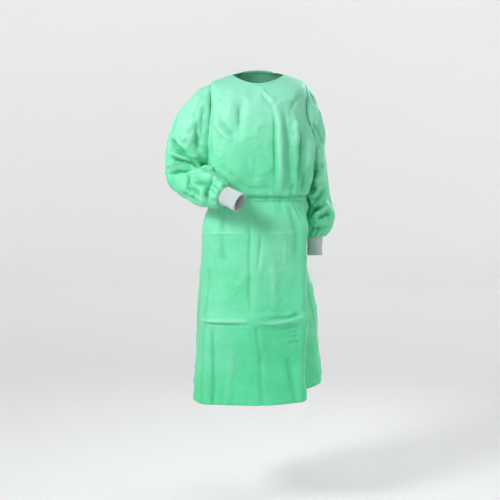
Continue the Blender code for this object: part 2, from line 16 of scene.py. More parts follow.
import bpy
import numpy as np
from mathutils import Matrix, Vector


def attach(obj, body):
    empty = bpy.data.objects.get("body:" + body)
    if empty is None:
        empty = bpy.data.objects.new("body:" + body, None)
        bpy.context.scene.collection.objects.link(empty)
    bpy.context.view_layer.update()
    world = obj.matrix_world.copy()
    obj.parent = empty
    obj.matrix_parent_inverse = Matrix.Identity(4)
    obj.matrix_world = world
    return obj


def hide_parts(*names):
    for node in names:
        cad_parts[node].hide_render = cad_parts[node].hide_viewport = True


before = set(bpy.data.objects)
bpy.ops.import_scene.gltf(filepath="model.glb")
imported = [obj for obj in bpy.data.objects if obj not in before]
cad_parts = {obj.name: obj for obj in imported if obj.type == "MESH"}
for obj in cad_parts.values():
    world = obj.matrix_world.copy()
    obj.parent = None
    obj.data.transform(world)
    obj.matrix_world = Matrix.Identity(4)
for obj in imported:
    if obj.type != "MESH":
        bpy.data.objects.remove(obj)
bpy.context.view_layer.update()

# The camera stands where the photograph was taken from
CAMERA_PLACE = (-0.02648, -4.5, -0.09)
CAMERA_AIM = (-0.02648, 0.0, -0.576)
CAMERA_LENS = 98.45
CAMERA_SENSOR = 36.0
CAMERA_CLIP_END = 60

# Studio: a round pale floor that rises into a wall, lit by large soft lights
FLOOR_Z = -1.42
FLOOR_RADIUS = 6.0
WALL_RADIUS = 9.0
WALL_HEIGHT = 7.0
STAGE_CENTRE = 0.02
STAGE_RINGS = 24
STAGE_SEGMENTS = 96
FLOOR_SHARE = 0.4

# Cloth walls and gaps
SHELL_WALL = 0.0008
KNIT_WALL = 0.0020
TIE_WALL = 0.0012
SEAM_GAP = 0.0004
LAYER_STEP = 0.0050

# The solids' own segments, which the armhole and the sleeve's rings follow
BODY_SEGMENTS = 52
SLEEVE_SEGMENTS = 22
OVERLAP_COLUMNS = 5
OVERLAP_TURNS = OVERLAP_COLUMNS / BODY_SEGMENTS
STEP_TURNS = 0.040

# How finely places on the body are looked up, and how points are moved clear of it
LOOKUP_LEVELS = 600
CLEAR_LEVELS = 500
CLEAR_PASSES = 8
CLEAR_PULL = 0.7

# Finer grids for the shells
FRONT_COLUMNS = 152
BACK_COLUMNS = 106
ROW_STEP = 0.0046
FINE_ROW_STEP = 0.0022
FINE_REACH = 0.020
LEVEL_WALK = 200
LEAST_ROWS = 3
ARMHOLE_ROWS = 90
RING_FACTOR = 7

# The body, from the hem up. Heights are at the centre front, the side and the centre back,
# and square makes a section boxier
BODY_COLUMNS = (
    "front_z", "side_z", "back_z", "half_width", "front_depth", "back_depth", "square",
)
BODY_SECTIONS = {
    "hem": (-1.057, -1.064, -1.030, 0.212, 0.184, 0.166, 0.08),
    "calf": (-0.925, -0.925, -0.915, 0.201, 0.177, 0.158, 0.07),
    "knee_fold": (-0.786, -0.786, -0.780, 0.190, 0.168, 0.150, 0.06),
    "thigh": (-0.620, -0.620, -0.620, 0.184, 0.153, 0.142, 0.05),
    "hip": (-0.490, -0.490, -0.490, 0.178, 0.136, 0.128, 0.05),
    "tie_low": (-0.407, -0.407, -0.407, 0.1570, 0.1125, 0.1005, 0.05),
    "waist": (-0.400, -0.400, -0.400, 0.1555, 0.1110, 0.1000, 0.05),
    "tie_high": (-0.393, -0.393, -0.393, 0.1565, 0.1130, 0.1010, 0.05),
    "blouse": (-0.350, -0.350, -0.350, 0.166, 0.132, 0.115, 0.06),
    "underarm": (-0.300, -0.300, -0.300, 0.164, 0.139, 0.119, 0.06),
    "shoulder": (-0.105, -0.029, -0.055, 0.153, 0.124, 0.104, 0.05),
    "yoke": (-0.066, -0.013, -0.020, 0.123, 0.108, 0.084, 0.03),
    "neck": (-0.035, -0.002, 0.010, 0.092, 0.089, 0.062, 0.00),
}
LEVELS = {name: level for level, name in enumerate(BODY_SECTIONS)}
TOP_LEVEL = LEVELS["neck"]

# How much higher the hem hangs at the wearer's left side
HEM_LEFT_LIFT = 0.036
WAIST_Z = -0.400
ARMHOLE_CENTRE = (LEVELS["underarm"] + LEVELS["shoulder"]) / 2
ARMHOLE_HALF = (LEVELS["shoulder"] - LEVELS["underarm"]) / 2
ARMHOLE_TURNS = 0.058

# The largest folds, which the solids have too: where round the body at mid height, the lean in
# turns for each metre up, the heights it ends at and over how far it fades there, how far it
# stands out or in, and its width in turns on the sides of lower and higher turns
FOLD_COLUMNS = ("turn", "lean", "low", "high", "fade", "depth", "before", "after")
FOLDS = {
    "left_side_notch": (0.206, 0.10, -1.40, -0.420, 0.12, -0.064, 0.046, 0.042),
    "left_arm_hollow": (0.275, 0.00, -0.720, -0.420, 0.12, -0.034, 0.060, 0.060),
    "left_back_flap": (0.325, 0.03, -1.40, -0.560, 0.25, 0.012, 0.026, 0.050),
    "left_front_edge": (0.118, 0.10, -1.40, -0.420, 0.10, 0.006, 0.018, 0.014),
    "right_front_edge": (-0.140, -0.05, -1.40, -0.600, 0.20, 0.006, 0.022, 0.022),
    "centre_fold": (0.000, 0.00, -1.40, -0.450, 0.20, 0.006, 0.030, 0.030),
    "left_bodice_flare": (0.190, 0.00, -0.405, -0.120, 0.09, 0.024, 0.040, 0.030),
    "bodice_fold_inner": (0.058, 0.00, -0.390, -0.100, 0.04, 0.006, 0.012, 0.012),
    "bodice_fold_middle": (0.112, 0.00, -0.390, -0.120, 0.04, 0.006, 0.014, 0.014),
    "bodice_fold_right": (-0.050, 0.04, -0.220, -0.070, 0.04, -0.006, 0.016, 0.016),
    "bodice_fold_side": (-0.150, -0.06, -0.400, -0.160, 0.06, 0.008, 0.022, 0.020),
    "back_fold_left": (0.410, 0.03, -1.40, -0.440, 0.20, 0.012, 0.022, 0.022),
    "back_fold_right": (-0.390, -0.03, -1.40, -0.440, 0.20, 0.014, 0.024, 0.024),
    "back_bodice_left": (0.360, -0.04, -0.390, -0.090, 0.06, 0.009, 0.022, 0.022),
    "back_bodice_right": (-0.370, 0.04, -0.390, -0.090, 0.06, 0.009, 0.022, 0.022),
}

# Creases of the body: each runs through three places (turn, height), with how far it
# stands out or in, its half width in metres, and how soft it is (2 rounded, 1 pinched)
CREASE_COLUMNS = (
    "start", "start_2", "middle", "middle_2", "end", "end_2", "depth", "width", "soft",
)
BODY_CREASES = {
    # front of the bodice
    "band_inner": (0.044, -0.095, 0.042, -0.240, 0.043, -0.392, -0.0052, 0.0050, 1.4),
    "band_ridge": (0.058, -0.100, 0.057, -0.250, 0.058, -0.392, 0.0060, 0.0090, 2.2),
    "band_outer": (0.079, -0.100, 0.077, -0.250, 0.079, -0.395, -0.0032, 0.0048, 1.3),
    "chest_tuck": (-0.054, -0.100, -0.053, -0.135, -0.051, -0.175, -0.0042, 0.0055, 1.5),
    "armhole_drag": (-0.146, -0.118, -0.096, -0.170, -0.056, -0.198, -0.0050, 0.0080, 1.6),
    "armhole_drag_lip": (-0.150, -0.140, -0.104, -0.188, -0.064, -0.212, 0.0040, 0.0090, 2.0),
    "armhole_line": (-0.183, -0.080, -0.168, -0.160, -0.138, -0.300, -0.0050, 0.0060, 1.5),
    "side_trough": (0.131, -0.165, 0.128, -0.260, 0.124, -0.375, -0.0080, 0.0085, 1.6),
    "side_ridge": (0.119, -0.135, 0.113, -0.185, 0.110, -0.240, 0.0050, 0.0080, 2.0),
    "left_bust_ridge": (0.158, -0.200, 0.160, -0.255, 0.154, -0.320, 0.0055, 0.0085, 1.8),
    "left_bust_trough": (0.146, -0.300, 0.144, -0.340, 0.140, -0.385, -0.0050, 0.0070, 1.6),
    "chest_bar": (-0.012, -0.217, 0.006, -0.219, 0.024, -0.216, -0.0014, 0.0045, 1.6),
    "chest_bar_low": (-0.010, -0.242, 0.004, -0.245, 0.016, -0.243, -0.0010, 0.0045, 1.8),
    "neck_pull": (0.014, -0.046, 0.034, -0.070, 0.056, -0.096, 0.0030, 0.0060, 1.6),
    "neck_pull_shade": (0.006, -0.058, 0.028, -0.086, 0.046, -0.120, -0.0022, 0.0070, 2.0),
    "blister": (0.000, -0.325, 0.001, -0.342, 0.001, -0.362, 0.0022, 0.0260, 2.6),
    "rib_light": (-0.108, -0.230, -0.106, -0.252, -0.098, -0.276, 0.0018, 0.0130, 2.0),
    "waist_pull_right": (-0.110, -0.285, -0.070, -0.325, -0.020, -0.378, -0.0024, 0.0100, 1.9),
    "waist_pull_right_lip": (-0.100, -0.310, -0.060, -0.345, -0.015, -0.388, 0.0018, 0.0100, 2.0),
    "waist_pull_left": (0.100, -0.345, 0.092, -0.372, 0.096, -0.396, -0.0035, 0.0055, 1.4),
    "shoulder_right_pull": (-0.150, -0.060, -0.120, -0.075, -0.080, -0.088, 0.0030, 0.0090, 1.8),
    "shoulder_left_pull": (0.160, -0.060, 0.125, -0.082, 0.095, -0.120, -0.0034, 0.0080, 1.8),
    # front of the skirt: lines pressed in by folding, and soft falls
    "pressed_upper": (-0.222, -0.517, -0.120, -0.511, -0.015, -0.507, 0.0030, 0.0040, 1.1),
    "pressed_upper_left": (0.005, -0.505, 0.060, -0.507, 0.112, -0.503, 0.0020, 0.0038, 1.1),
    "centre_upper": (-0.015, -0.452, -0.019, -0.600, -0.012, -0.800, -0.0062, 0.0038, 1.3),
    "centre_lower": (-0.010, -0.780, 0.002, -0.850, 0.008, -1.056, -0.0052, 0.0042, 1.3),
    "centre_second": (0.007, -0.490, 0.004, -0.565, -0.001, -0.640, -0.0052, 0.0038, 1.3),
    "patch_side": (0.065, -0.500, 0.065, -0.560, 0.064, -0.625, 0.0016, 0.0035, 1.1),
    "patch_foot": (0.002, -0.624, 0.034, -0.626, 0.064, -0.623, 0.0014, 0.0035, 1.1),
    "pressed_right": (-0.200, -0.795, -0.090, -0.789, -0.010, -0.786, 0.0060, 0.0036, 1.2),
    "pressed_right_foot": (-0.160, -0.804, -0.080, -0.798, -0.012, -0.796, -0.0030, 0.0050, 1.4),
    "pressed_left": (-0.004, -0.790, 0.055, -0.788, 0.122, -0.774, 0.0056, 0.0038, 1.2),
    "pressed_left_head": (0.002, -0.779, 0.060, -0.777, 0.120, -0.763, -0.0044, 0.0052, 1.5),
    "edge_right": (-0.118, -0.800, -0.104, -0.900, -0.094, -1.056, -0.0048, 0.0070, 1.6),
    "edge_right_fold": (-0.150, -0.560, -0.146, -0.800, -0.136, -1.056, -0.0040, 0.0100, 1.7),
    "ripple_1": (0.044, -0.812, 0.070, -0.808, 0.098, -0.802, -0.0034, 0.0036, 1.4),
    "ripple_2": (0.052, -0.826, 0.076, -0.823, 0.104, -0.818, -0.0034, 0.0036, 1.4),
    "ripple_3": (0.048, -0.842, 0.074, -0.838, 0.100, -0.836, -0.0034, 0.0038, 1.4),
    "ripple_4": (0.058, -0.858, 0.080, -0.856, 0.104, -0.850, -0.0034, 0.0038, 1.4),
    "hip_fall_right": (-0.090, -0.430, -0.094, -0.520, -0.082, -0.640, -0.0034, 0.0120, 2.0),
    "hip_fall_left": (0.088, -0.420, 0.100, -0.500, 0.092, -0.620, -0.0034, 0.0120, 2.0),
    "thigh_fall": (0.030, -0.560, 0.036, -0.670, 0.030, -0.770, 0.0026, 0.0140, 2.0),
    "hem_fall_right": (-0.058, -0.860, -0.056, -0.950, -0.060, -1.050, 0.0030, 0.0120, 2.0),
    "hem_fall_left": (0.060, -0.880, 0.066, -0.960, 0.072, -1.046, -0.0034, 0.0120, 2.0),
    "edge_left_in": (0.142, -0.820, 0.134, -0.930, 0.128, -1.060, -0.0055, 0.0240, 2.0),
    # wearer's left, behind the front's edge, and the two sides
    "flap_fall": (0.330, -0.600, 0.326, -0.800, 0.318, -1.030, -0.0040, 0.0080, 1.6),
    "flap_pressed": (0.262, -0.770, 0.300, -0.776, 0.345, -0.770, 0.0030, 0.0042, 1.1),
    "side_fall_right": (-0.235, -0.430, -0.238, -0.650, -0.232, -1.040, -0.0056, 0.0160, 2.0),
    "side_fall_right_2": (-0.280, -0.440, -0.284, -0.700, -0.290, -1.030, 0.0050, 0.0140, 2.0),
    "side_pull_right": (-0.232, -0.310, -0.226, -0.350, -0.236, -0.390, -0.0050, 0.0080, 1.6),
    "side_pull_left": (0.235, -0.310, 0.226, -0.350, 0.232, -0.390, -0.0050, 0.0080, 1.6),
    # back of the bodice
    "back_drag_right": (-0.330, -0.120, -0.375, -0.180, -0.420, -0.215, -0.0050, 0.0085, 1.6),
    "back_drag_right_2": (-0.326, -0.170, -0.366, -0.225, -0.400, -0.250, 0.0042, 0.0095, 1.9),
    "back_drag_left": (0.330, -0.115, 0.372, -0.170, 0.410, -0.200, -0.0050, 0.0085, 1.6),
    "back_fall_right": (-0.440, -0.150, -0.446, -0.270, -0.438, -0.392, -0.0045, 0.0080, 1.6),
    "back_fall_middle": (-0.484, -0.110, -0.488, -0.250, -0.480, -0.392, 0.0046, 0.0100, 2.0),
    "back_fall_left": (0.452, -0.180, 0.462, -0.290, 0.454, -0.392, -0.0050, 0.0080, 1.6),
    "back_pressed_high": (-0.360, -0.232, -0.430, -0.228, -0.500, -0.231, 0.0022, 0.0038, 1.1),
    # back of the skirt
    "back_pressed_upper": (-0.290, -0.512, -0.400, -0.508, -0.520, -0.512, 0.0028, 0.0040, 1.1),
    "back_pressed_lower": (-0.280, -0.792, -0.400, -0.786, -0.530, -0.792, 0.0044, 0.0042, 1.0),
    "back_pressed_foot": (-0.280, -0.804, -0.400, -0.798, -0.530, -0.804, -0.0032, 0.0060, 1.4),
    "back_centre_line": (-0.462, -0.430, -0.458, -0.700, -0.462, -1.020, -0.0032, 0.0042, 1.2),
    "back_side_fall": (-0.340, -0.440, -0.346, -0.700, -0.336, -1.020, -0.0056, 0.0130, 2.0),
    "back_side_fall_2": (-0.425, -0.450, -0.432, -0.640, -0.424, -0.860, -0.0044, 0.0120, 2.0),
    "back_left_fall": (0.440, -0.430, 0.436, -0.700, 0.446, -1.020, -0.0050, 0.0120, 2.0),
    "back_left_fall_2": (0.376, -0.450, 0.372, -0.760, 0.382, -1.020, -0.0046, 0.0120, 2.0),
    "back_left_pressed": (0.360, -0.790, 0.400, -0.786, 0.462, -0.790, 0.0040, 0.0042, 1.0),
}

# Uneven gathers where the tie draws the cloth in: even ones first, which the solids have too
# and deeper, then a seeded draw
GATHERS = 26
GATHER_DEPTH = 0.0022
GATHER_SHARE = 0.35
GATHER_REACH = 0.045
WAIST_PLEATS = 46
PLEAT_SEED = 5
PLEAT_GIRTH = 0.90
PLEAT_SPREAD = 0.06
PLEAT_LEAN = (-0.4, 0.4)
PLEAT_DEPTH = (0.0010, 0.0040)
PLEAT_WIDTH = (0.0035, 0.0080)
PLEAT_REACH_UP = (0.020, 0.075)
PLEAT_REACH_DOWN = (0.020, 0.100)

# How far the bodice swells just above the tie, how high above it, and over which height
BLOUSE_OVER = 0.0065
BLOUSE_RISE = 0.020
BLOUSE_REACH = 0.011

# Crinkles of the stiff thin cloth: the size and the depth of each layer's lumps
CRINKLES = ((0.120, 0.0034), (0.052, 0.0019), (0.024, 0.0009))
SLEEVE_CRINKLES = ((0.085, 0.0036), (0.036, 0.0013), (0.018, 0.0005))
CRINKLE_SEED = 3

# Cloth without crinkles: the share that is missing at the neck, from which height and over how
# much, and at the tie, over how much
NECK_CALM = (0.75, -0.06, 0.04)
TIE_CALM = (0.6, 0.012)

# How creases are drawn: the tables' depths are scaled, and a crease that ends below the height
# of HEM_REACHED runs into the hem
BODY_CREASE_SCALE = 1.5
SLEEVE_CREASE_SCALE = 1.6
HEM_REACHED = -1.015
PATH_POINTS = 13
CREASE_REACH = 3.2
CREASE_TAPER = 0.28
CREASE_WOBBLE = 0.25

# Marks: a crease harder than PRESSED_SOFTNESS is pressed pale, partly as a painted highlight, fully
# at
# PRESSED_DEPTH, painted shade makes a fold darkest at the depth of DEEP_FOLD, and a ridge carries a
# painted highlight at most as pale as RIDGE_MARK
PRESSED_SOFTNESS = 1.35
PRESSED_DEPTH = 0.0045
DEEP_FOLD = 0.012
RIDGE_MARK = 0.8

# The hem of the flap behind the wearer's left side is lifted
FLAP_TURN = 0.305
FLAP_TURNS = 0.070
FLAP_LIFT = 0.022

# The line that packing presses across the front, on the solids too
PRESSED_LINE_Z = -0.786
PRESSED_LINE_RISE = 0.004
PRESSED_LINE_REACH = 0.030
PRESSED_LINE_HALF_TURNS = 0.16
PRESSED_LINE_FADE = 0.03

# Flat panels between the lines of packing: the cloth tilts away from each line
PANEL_LINE_COLUMNS = ("middle", "rise", "reach")
PANEL_LINES = {
    "chest": (-0.222, 0.0050, 0.110),
    "hip": (-0.508, 0.0026, 0.080),
    "knee": (-0.790, 0.0085, 0.150),
}
PANEL_SIDE_TURN = 0.0
PANEL_SIDE_RISE = 0.0060
PANEL_SIDE_REACH = 0.095
PANEL_BACK_TURN = -0.462
PANEL_WANDER = 0.003
PANEL_SKIRT_FADE = (0.030, 0.10)
PANEL_PROFILE = 1.5

# A sleeve runs between two rails: the outer one over the shoulder, elbow and back of the
# forearm, and the inner one from the underarm along the crook of the elbow
SLEEVE_COLUMNS = (
    "outer_x", "outer_y", "outer_z", "inner_x", "inner_y", "inner_z", "half_depth",
)
RIGHT_SLEEVE = {
    "armhole": (-0.153, 0.000, -0.029, -0.161, 0.000, -0.300, 0.055),
    "cap": (-0.195, 0.002, -0.056, -0.171, -0.002, -0.302, 0.072),
    "deltoid": (-0.239, 0.008, -0.098, -0.178, -0.008, -0.305, 0.076),
    "upper_arm": (-0.275, 0.014, -0.144, -0.180, -0.020, -0.308, 0.074),
    "mid_arm": (-0.295, 0.018, -0.210, -0.176, -0.037, -0.310, 0.068),
    "above_elbow": (-0.300, 0.012, -0.276, -0.168, -0.056, -0.312, 0.060),
    "elbow": (-0.300, -0.012, -0.338, -0.157, -0.079, -0.313, 0.056),
    "below_elbow": (-0.264, -0.060, -0.378, -0.144, -0.106, -0.316, 0.055),
    "forearm": (-0.222, -0.112, -0.404, -0.131, -0.136, -0.320, 0.052),
    "puff": (-0.180, -0.158, -0.418, -0.116, -0.166, -0.327, 0.047),
    "gather": (-0.140, -0.182, -0.417, -0.103, -0.196, -0.338, 0.038),
    "wrist": (-0.117, -0.194, -0.410, -0.097, -0.206, -0.352, 0.030),
}
LEFT_SLEEVE = {
    "armhole": (0.153, 0.000, -0.029, 0.161, 0.000, -0.300, 0.055),
    "cap": (0.172, 0.004, -0.052, 0.170, 0.006, -0.306, 0.066),
    "deltoid": (0.189, 0.012, -0.092, 0.177, 0.015, -0.315, 0.070),
    "upper_arm": (0.202, 0.022, -0.148, 0.180, 0.026, -0.327, 0.072),
    "mid_arm": (0.213, 0.030, -0.212, 0.180, 0.037, -0.342, 0.070),
    "above_elbow": (0.222, 0.036, -0.276, 0.176, 0.046, -0.361, 0.066),
    "elbow": (0.230, 0.040, -0.336, 0.165, 0.051, -0.388, 0.064),
    "below_elbow": (0.237, 0.040, -0.394, 0.161, 0.052, -0.420, 0.062),
    "forearm": (0.248, 0.036, -0.435, 0.164, 0.045, -0.454, 0.058),
    "puff": (0.255, 0.032, -0.466, 0.164, 0.038, -0.486, 0.054),
    "gather": (0.241, 0.030, -0.504, 0.162, 0.034, -0.518, 0.040),
    "wrist": (0.218, 0.030, -0.533, 0.160, 0.032, -0.538, 0.028),
}

# Over how many rows a sleeve still heads sideways, leaves the armhole's edge and turns into the
# cuff's, and how far it stays from the body
RIGHT_TURN_ROWS = 3.0
LEFT_TURN_ROWS = 6.0
SIDEWAYS_PULL = 2.0
HEADING_PASSES = 4
RIM_ROWS = 2.0
WRIST_ROWS = 1.2
ARMHOLE_CLEARANCE = 0.0018
SLEEVE_CLEARANCE = 0.0060
CLEARANCE_ROWS = 1.5
SLEEVE_ROWS_PER_SPAN = (2, 2, 1, 2, 1, 2, 2, 2, 2, 2, 1)
LAST_PLACE = len(SLEEVE_ROWS_PER_SPAN)

# Broad creases of the sleeves, which the solids have too
WIDE_CREASE_COLUMNS = ("along", "angle", "depth", "half_along", "half_angle")
RIGHT_WIDE_CREASES = {
    "upper": (4.0, 120.0, -0.006, 0.70, 50.0),
    "ridge": (5.0, 110.0, 0.004, 0.60, 45.0),
    "elbow": (6.2, 130.0, -0.006, 0.70, 50.0),
    "lower": (7.6, 100.0, -0.005, 0.70, 45.0),
}
LEFT_WIDE_CREASES = {
    "upper": (4.5, 60.0, -0.004, 0.70, 50.0),
    "elbow": (6.0, 50.0, -0.005, 0.70, 50.0),
    "lower": (7.6, 40.0, -0.005, 0.70, 45.0),
}

# Wrinkles of the sleeves: three places (row of the sleeve's table, angle in degrees:
# 0 outside, 90 in front, 180 inside), depth, half width and softness
RIGHT_CREASES = {
    "elbow_trough_high": (4.10, 34, 4.38, 85, 4.85, 156, -0.0150, 0.0078, 1.5),
    "elbow_ridge_high": (4.74, 40, 4.84, 88, 5.10, 140, 0.0125, 0.0070, 1.6),
    "elbow_trough_mid": (5.16, 62, 5.34, 104, 5.66, 158, -0.0140, 0.0055, 1.4),
    "elbow_ridge_mid": (5.64, 36, 5.80, 86, 6.05, 140, 0.0120, 0.0080, 1.6),
    "elbow_trough_low": (6.34, 40, 6.48, 86, 6.78, 132, -0.0130, 0.0062, 1.4),
    "crook_ridge": (6.40, 140, 6.85, 158, 7.40, 176, 0.0080, 0.0100, 1.9),
    "elbow_ridge_low": (7.10, 84, 7.25, 108, 7.60, 150, 0.0070, 0.0090, 1.6),
    "elbow_point": (5.30, -16, 5.90, 8, 6.40, 44, -0.0030, 0.0150, 2.0),
    "elbow_back_trough": (5.60, -70, 5.90, -40, 6.30, -5, -0.0060, 0.0090, 1.6),
    "elbow_back_ridge": (6.40, -90, 6.80, -50, 7.10, -10, 0.0060, 0.0090, 1.8),
    "elbow_back_deep": (5.10, -120, 5.50, -90, 5.70, -50, -0.0070, 0.0080, 1.5),
    "upper_arm_patch": (1.90, 100, 2.60, 88, 3.20, 66, 0.0060, 0.0170, 2.4),
    "upper_arm_dent": (1.30, 70, 1.70, 96, 1.95, 124, -0.0060, 0.0100, 1.8),
    "cap_dent": (0.50, 60, 0.90, 80, 1.10, 108, -0.0040, 0.0090, 1.8),
    "cap_ridge": (0.70, 30, 1.40, 50, 2.10, 60, 0.0040, 0.0100, 2.0),
    "upper_arm_outer": (2.60, 10, 3.20, 30, 3.90, 36, -0.0040, 0.0100, 1.8),
    "upper_arm_back": (1.50, -60, 2.70, -75, 3.80, -70, -0.0070, 0.0110, 1.8),
    "upper_arm_back_2": (2.00, -110, 3.00, -120, 4.20, -118, 0.0060, 0.0110, 1.9),
    "forearm_top": (7.80, 120, 8.70, 128, 9.80, 150, 0.0080, 0.0080, 1.5),
    "forearm_hollow": (7.90, 96, 8.60, 100, 9.40, 112, -0.0080, 0.0080, 1.5),
    "forearm_front": (7.90, 58, 8.60, 62, 9.30, 60, -0.0056, 0.0150, 2.2),
    "forearm_under": (7.60, 20, 8.40, 30, 9.50, 24, -0.0060, 0.0090, 1.7),
    "forearm_back": (7.50, -60, 8.50, -70, 9.70, -66, -0.0060, 0.0090, 1.7),
    "forearm_fan": (7.20, 96, 7.78, 68, 8.20, 36, -0.0095, 0.0066, 1.4),
    "cuff_trough": (9.10, 150, 9.45, 96, 9.95, 26, -0.0120, 0.0068, 1.4),
    "cuff_trough_back": (9.80, -20, 9.70, -80, 9.85, -150, -0.0080, 0.0070, 1.5),
    "cuff_bulge": (9.30, 100, 9.35, 60, 9.50, 10, 0.0050, 0.0100, 2.0),
}
LEFT_CREASES = {
    "notch": (8.40, 146, 8.05, 100, 7.90, 62, -0.0120, 0.0075, 1.5),
    "diagonal_ridge": (8.75, 130, 8.20, 80, 7.45, 20, 0.0100, 0.0080, 1.6),
    "bulge": (8.50, 40, 8.60, 10, 8.60, -30, 0.0010, 0.0130, 2.2),
    "inner_swell": (6.90, 166, 7.80, 176, 8.60, 178, 0.0045, 0.0160, 2.4),
    "lower_trough": (9.05, 110, 8.80, 70, 8.60, 30, -0.0095, 0.0075, 1.5),
    "inner_bend": (5.60, 140, 5.90, 110, 6.40, 80, -0.0070, 0.0080, 1.6),
    "inner_bend_ridge": (6.20, 142, 6.60, 112, 6.90, 76, 0.0065, 0.0080, 1.6),
    "elbow_facet": (6.30, 100, 6.10, 70, 5.50, 40, 0.0060, 0.0090, 1.8),
    "elbow_trough": (7.30, 112, 7.00, 76, 6.50, 30, -0.0075, 0.0075, 1.5),
    "mid_ridge": (4.60, 70, 5.20, 84, 5.80, 96, 0.0055, 0.0090, 1.8),
    "mid_trough": (3.80, 96, 4.40, 84, 5.10, 52, -0.0060, 0.0085, 1.6),
    "upper_fall": (0.80, 84, 2.20, 74, 3.90, 70, -0.0050, 0.0090, 1.8),
    "upper_ridge": (1.00, 50, 2.40, 46, 4.00, 44, 0.0050, 0.0100, 2.0),
    "upper_front": (1.20, 112, 2.60, 108, 4.20, 118, 0.0050, 0.0100, 1.9),
    "cap_dent": (0.50, 20, 1.00, 40, 1.60, 52, -0.0035, 0.0090, 1.8),
    "back_fall": (1.20, -60, 2.80, -74, 4.60, -60, -0.0060, 0.0110, 1.8),
    "back_trough": (5.80, -120, 6.20, -80, 6.40, -30, -0.0075, 0.0085, 1.5),
    "back_ridge": (6.60, -126, 6.90, -84, 7.10, -30, 0.0070, 0.0090, 1.7),
    "back_low": (7.60, -110, 8.00, -80, 8.30, -40, -0.0065, 0.0080, 1.5),
    "outer_dent": (7.20, -10, 7.50, 6, 7.60, 26, -0.0035, 0.0080, 1.6),
    "cuff_trough": (9.60, 150, 9.90, 90, 9.70, 30, -0.0060, 0.0070, 1.5),
    "cuff_trough_back": (9.80, -20, 9.60, -80, 9.80, -150, -0.0070, 0.0070, 1.5),
}

# Uneven gathers that run into the cuffs, and how the sleeves narrow towards them
SLEEVE_PLEATS = 15
SLEEVE_TAPER = 0.13
SLEEVE_TAPER_ROWS = 1.7
SLEEVE_PLEAT_DEPTH = (0.0045, 0.0100)
SLEEVE_PLEAT_WIDTH = (0.014, 0.026)
SLEEVE_PLEAT_REACH = (1.0, 2.6)
SLEEVE_PLEAT_LEAN = (-0.02, 0.02)
SLEEVE_PLEAT_OUT = 0.12
SLEEVE_PLEAT_END = 0.40
SLEEVE_PLEAT_SPREAD = 0.15
CREASE_START_ROWS = 0.35
CREASE_END_ROWS = 0.25
CREASED_CLEARANCE = 0.6

# Cuffs: the profile is in metres along the cuff and its radius there
CUFF_PROFILE = ((0.0, 0.0318), (0.026, 0.0300), (0.060, 0.0315))
CUFF_RIBS = 52
CUFF_RIB_COLUMNS = 8
CUFF_RIB_RISE = 0.0008
CUFF_ROWS = 30
CUFF_SWAY = 0.0007
CUFF_EDGE = 0.06
CUFF_EDGE_DROP = 0.0008
CUFF_AIMS = {-1: (0.80, -0.45, -0.36), 1: (0.00, -0.08, -1.00)}
CUFF_OVALS = {-1: (0.96, 1.03), 1: (0.80, 1.14)}

# Neck, tab, knot and tie ends
BINDING_RISE = 0.007
BINDING_WALL = 0.0024
BINDING_ROWS = 9
BINDING_PULL = 0.00025
BINDING_HEAD_ROUND = 0.0011
BINDING_FOOT_ROUND = 0.0006
TAB_TURNS = (0.372, 0.442)
TAB_LEVELS = (LEVELS["yoke"] + 0.35, LEVELS["yoke"] + 0.90)
TAB_WALL = 0.0012
TAB_GRID = (41, 17)
TAB_ROUND = 0.0007
TIE_LIFT = 0.0012
TIE_ROLL = 0.0008
TIE_SQUEEZE = 0.8
KNOT_HALF_SIZE = (0.017, 0.008, 0.013)
KNOT_INSET = (0.0045, 0.0036, 0.0035)
KNOT_STRAND = (0.0044, 0.0030)
KNOT_CRUMPLE = 0.12
KNOT_LIFT = 0.0008
KNOT_RINGS = 120
KNOT_SEGMENTS = 18
TIE_END_ROWS = 90
TIE_END_OUT = 0.0010
TIE_END_SWAY = 0.0030
TIE_END_SWAY_RATE = 26.0
TIE_END_SWAY_START = 0.05
TIE_END_TWIST = 0.0018
TIE_END_TWIST_RATE = 38.0
TIE_END_FOLD = 0.0011
TIE_END_PINCH = 0.45
TIE_END_WIDTH = 0.013
TIE_END_LIFT = 0.0050
TIE_END_DROP = 0.0142
TIE_END_KNOT_LIFT = 0.0068
TIE_END_KNOT_REACH = 0.030
TIE_ENDS = {"left": (0.491, -0.075, -0.66), "right": (0.510, 0.060, -0.72)}

# Seams and turned edges: a turn is about GIRTH long, and the lowest level HEM_SPAN high
GIRTH = 0.95
HEM_SPAN = 0.135
HEM_DEPTH = 0.014
HEM_RISE = 0.0006
HEM_EDGE = 0.0015
SIDE_GROOVE = 0.0010
SIDE_GROOVE_WIDTH = 0.0028
ARMHOLE_GROOVE = 0.0012
ARMHOLE_GROOVE_WIDTH = 0.0030
RIM_REACH = 0.03
PUCKERS = 46
PUCKER_WANDER = 1.2
PUCKER_WANDER_RATE = 31
PUCKER_RISE = 0.0011
PUCKER_AWAY = 0.006
PUCKER_REACH = 0.008

# Stitches
STITCH_PITCH = 0.0034
STITCH_LENGTH = 0.0025
STITCH_WIDTH = 0.0005
STITCH_LIFT = 0.0004
STITCH_ABOVE = 0.0002
EDGE_STITCH_ABOVE = 0.0008

# Linear colours
MINT = (0.048, 0.665, 0.295, 1.0)
# MINT_PALE is the cloth's paler tone, and also painted light: higher up, on ridges and on pressed
# lines; MINT_SHADE is painted shade in folds
MINT_PALE = (0.330, 0.750, 0.580, 1.0)
MINT_DEEP = (0.018, 0.585, 0.215, 1.0)
MINT_SHADE = (0.010, 0.400, 0.140, 1.0)
KNIT_WHITE = (0.600, 0.655, 0.650, 1.0)
KNIT_SHADE = (0.430, 0.510, 0.490, 1.0)
THREAD = (0.330, 0.820, 0.600, 1.0)
STAGE_COLOUR = (0.80, 0.80, 0.80, 1.0)
STAGE_MOTTLE = (0.77, 0.775, 0.78, 1.0)
LIGHT_WHITE = (1.0, 1.0, 1.0)
LIGHT_COOL = (0.97, 0.98, 1.0)
SKY = (0.95, 0.97, 1.0, 1.0)


# Shapes that the solids share


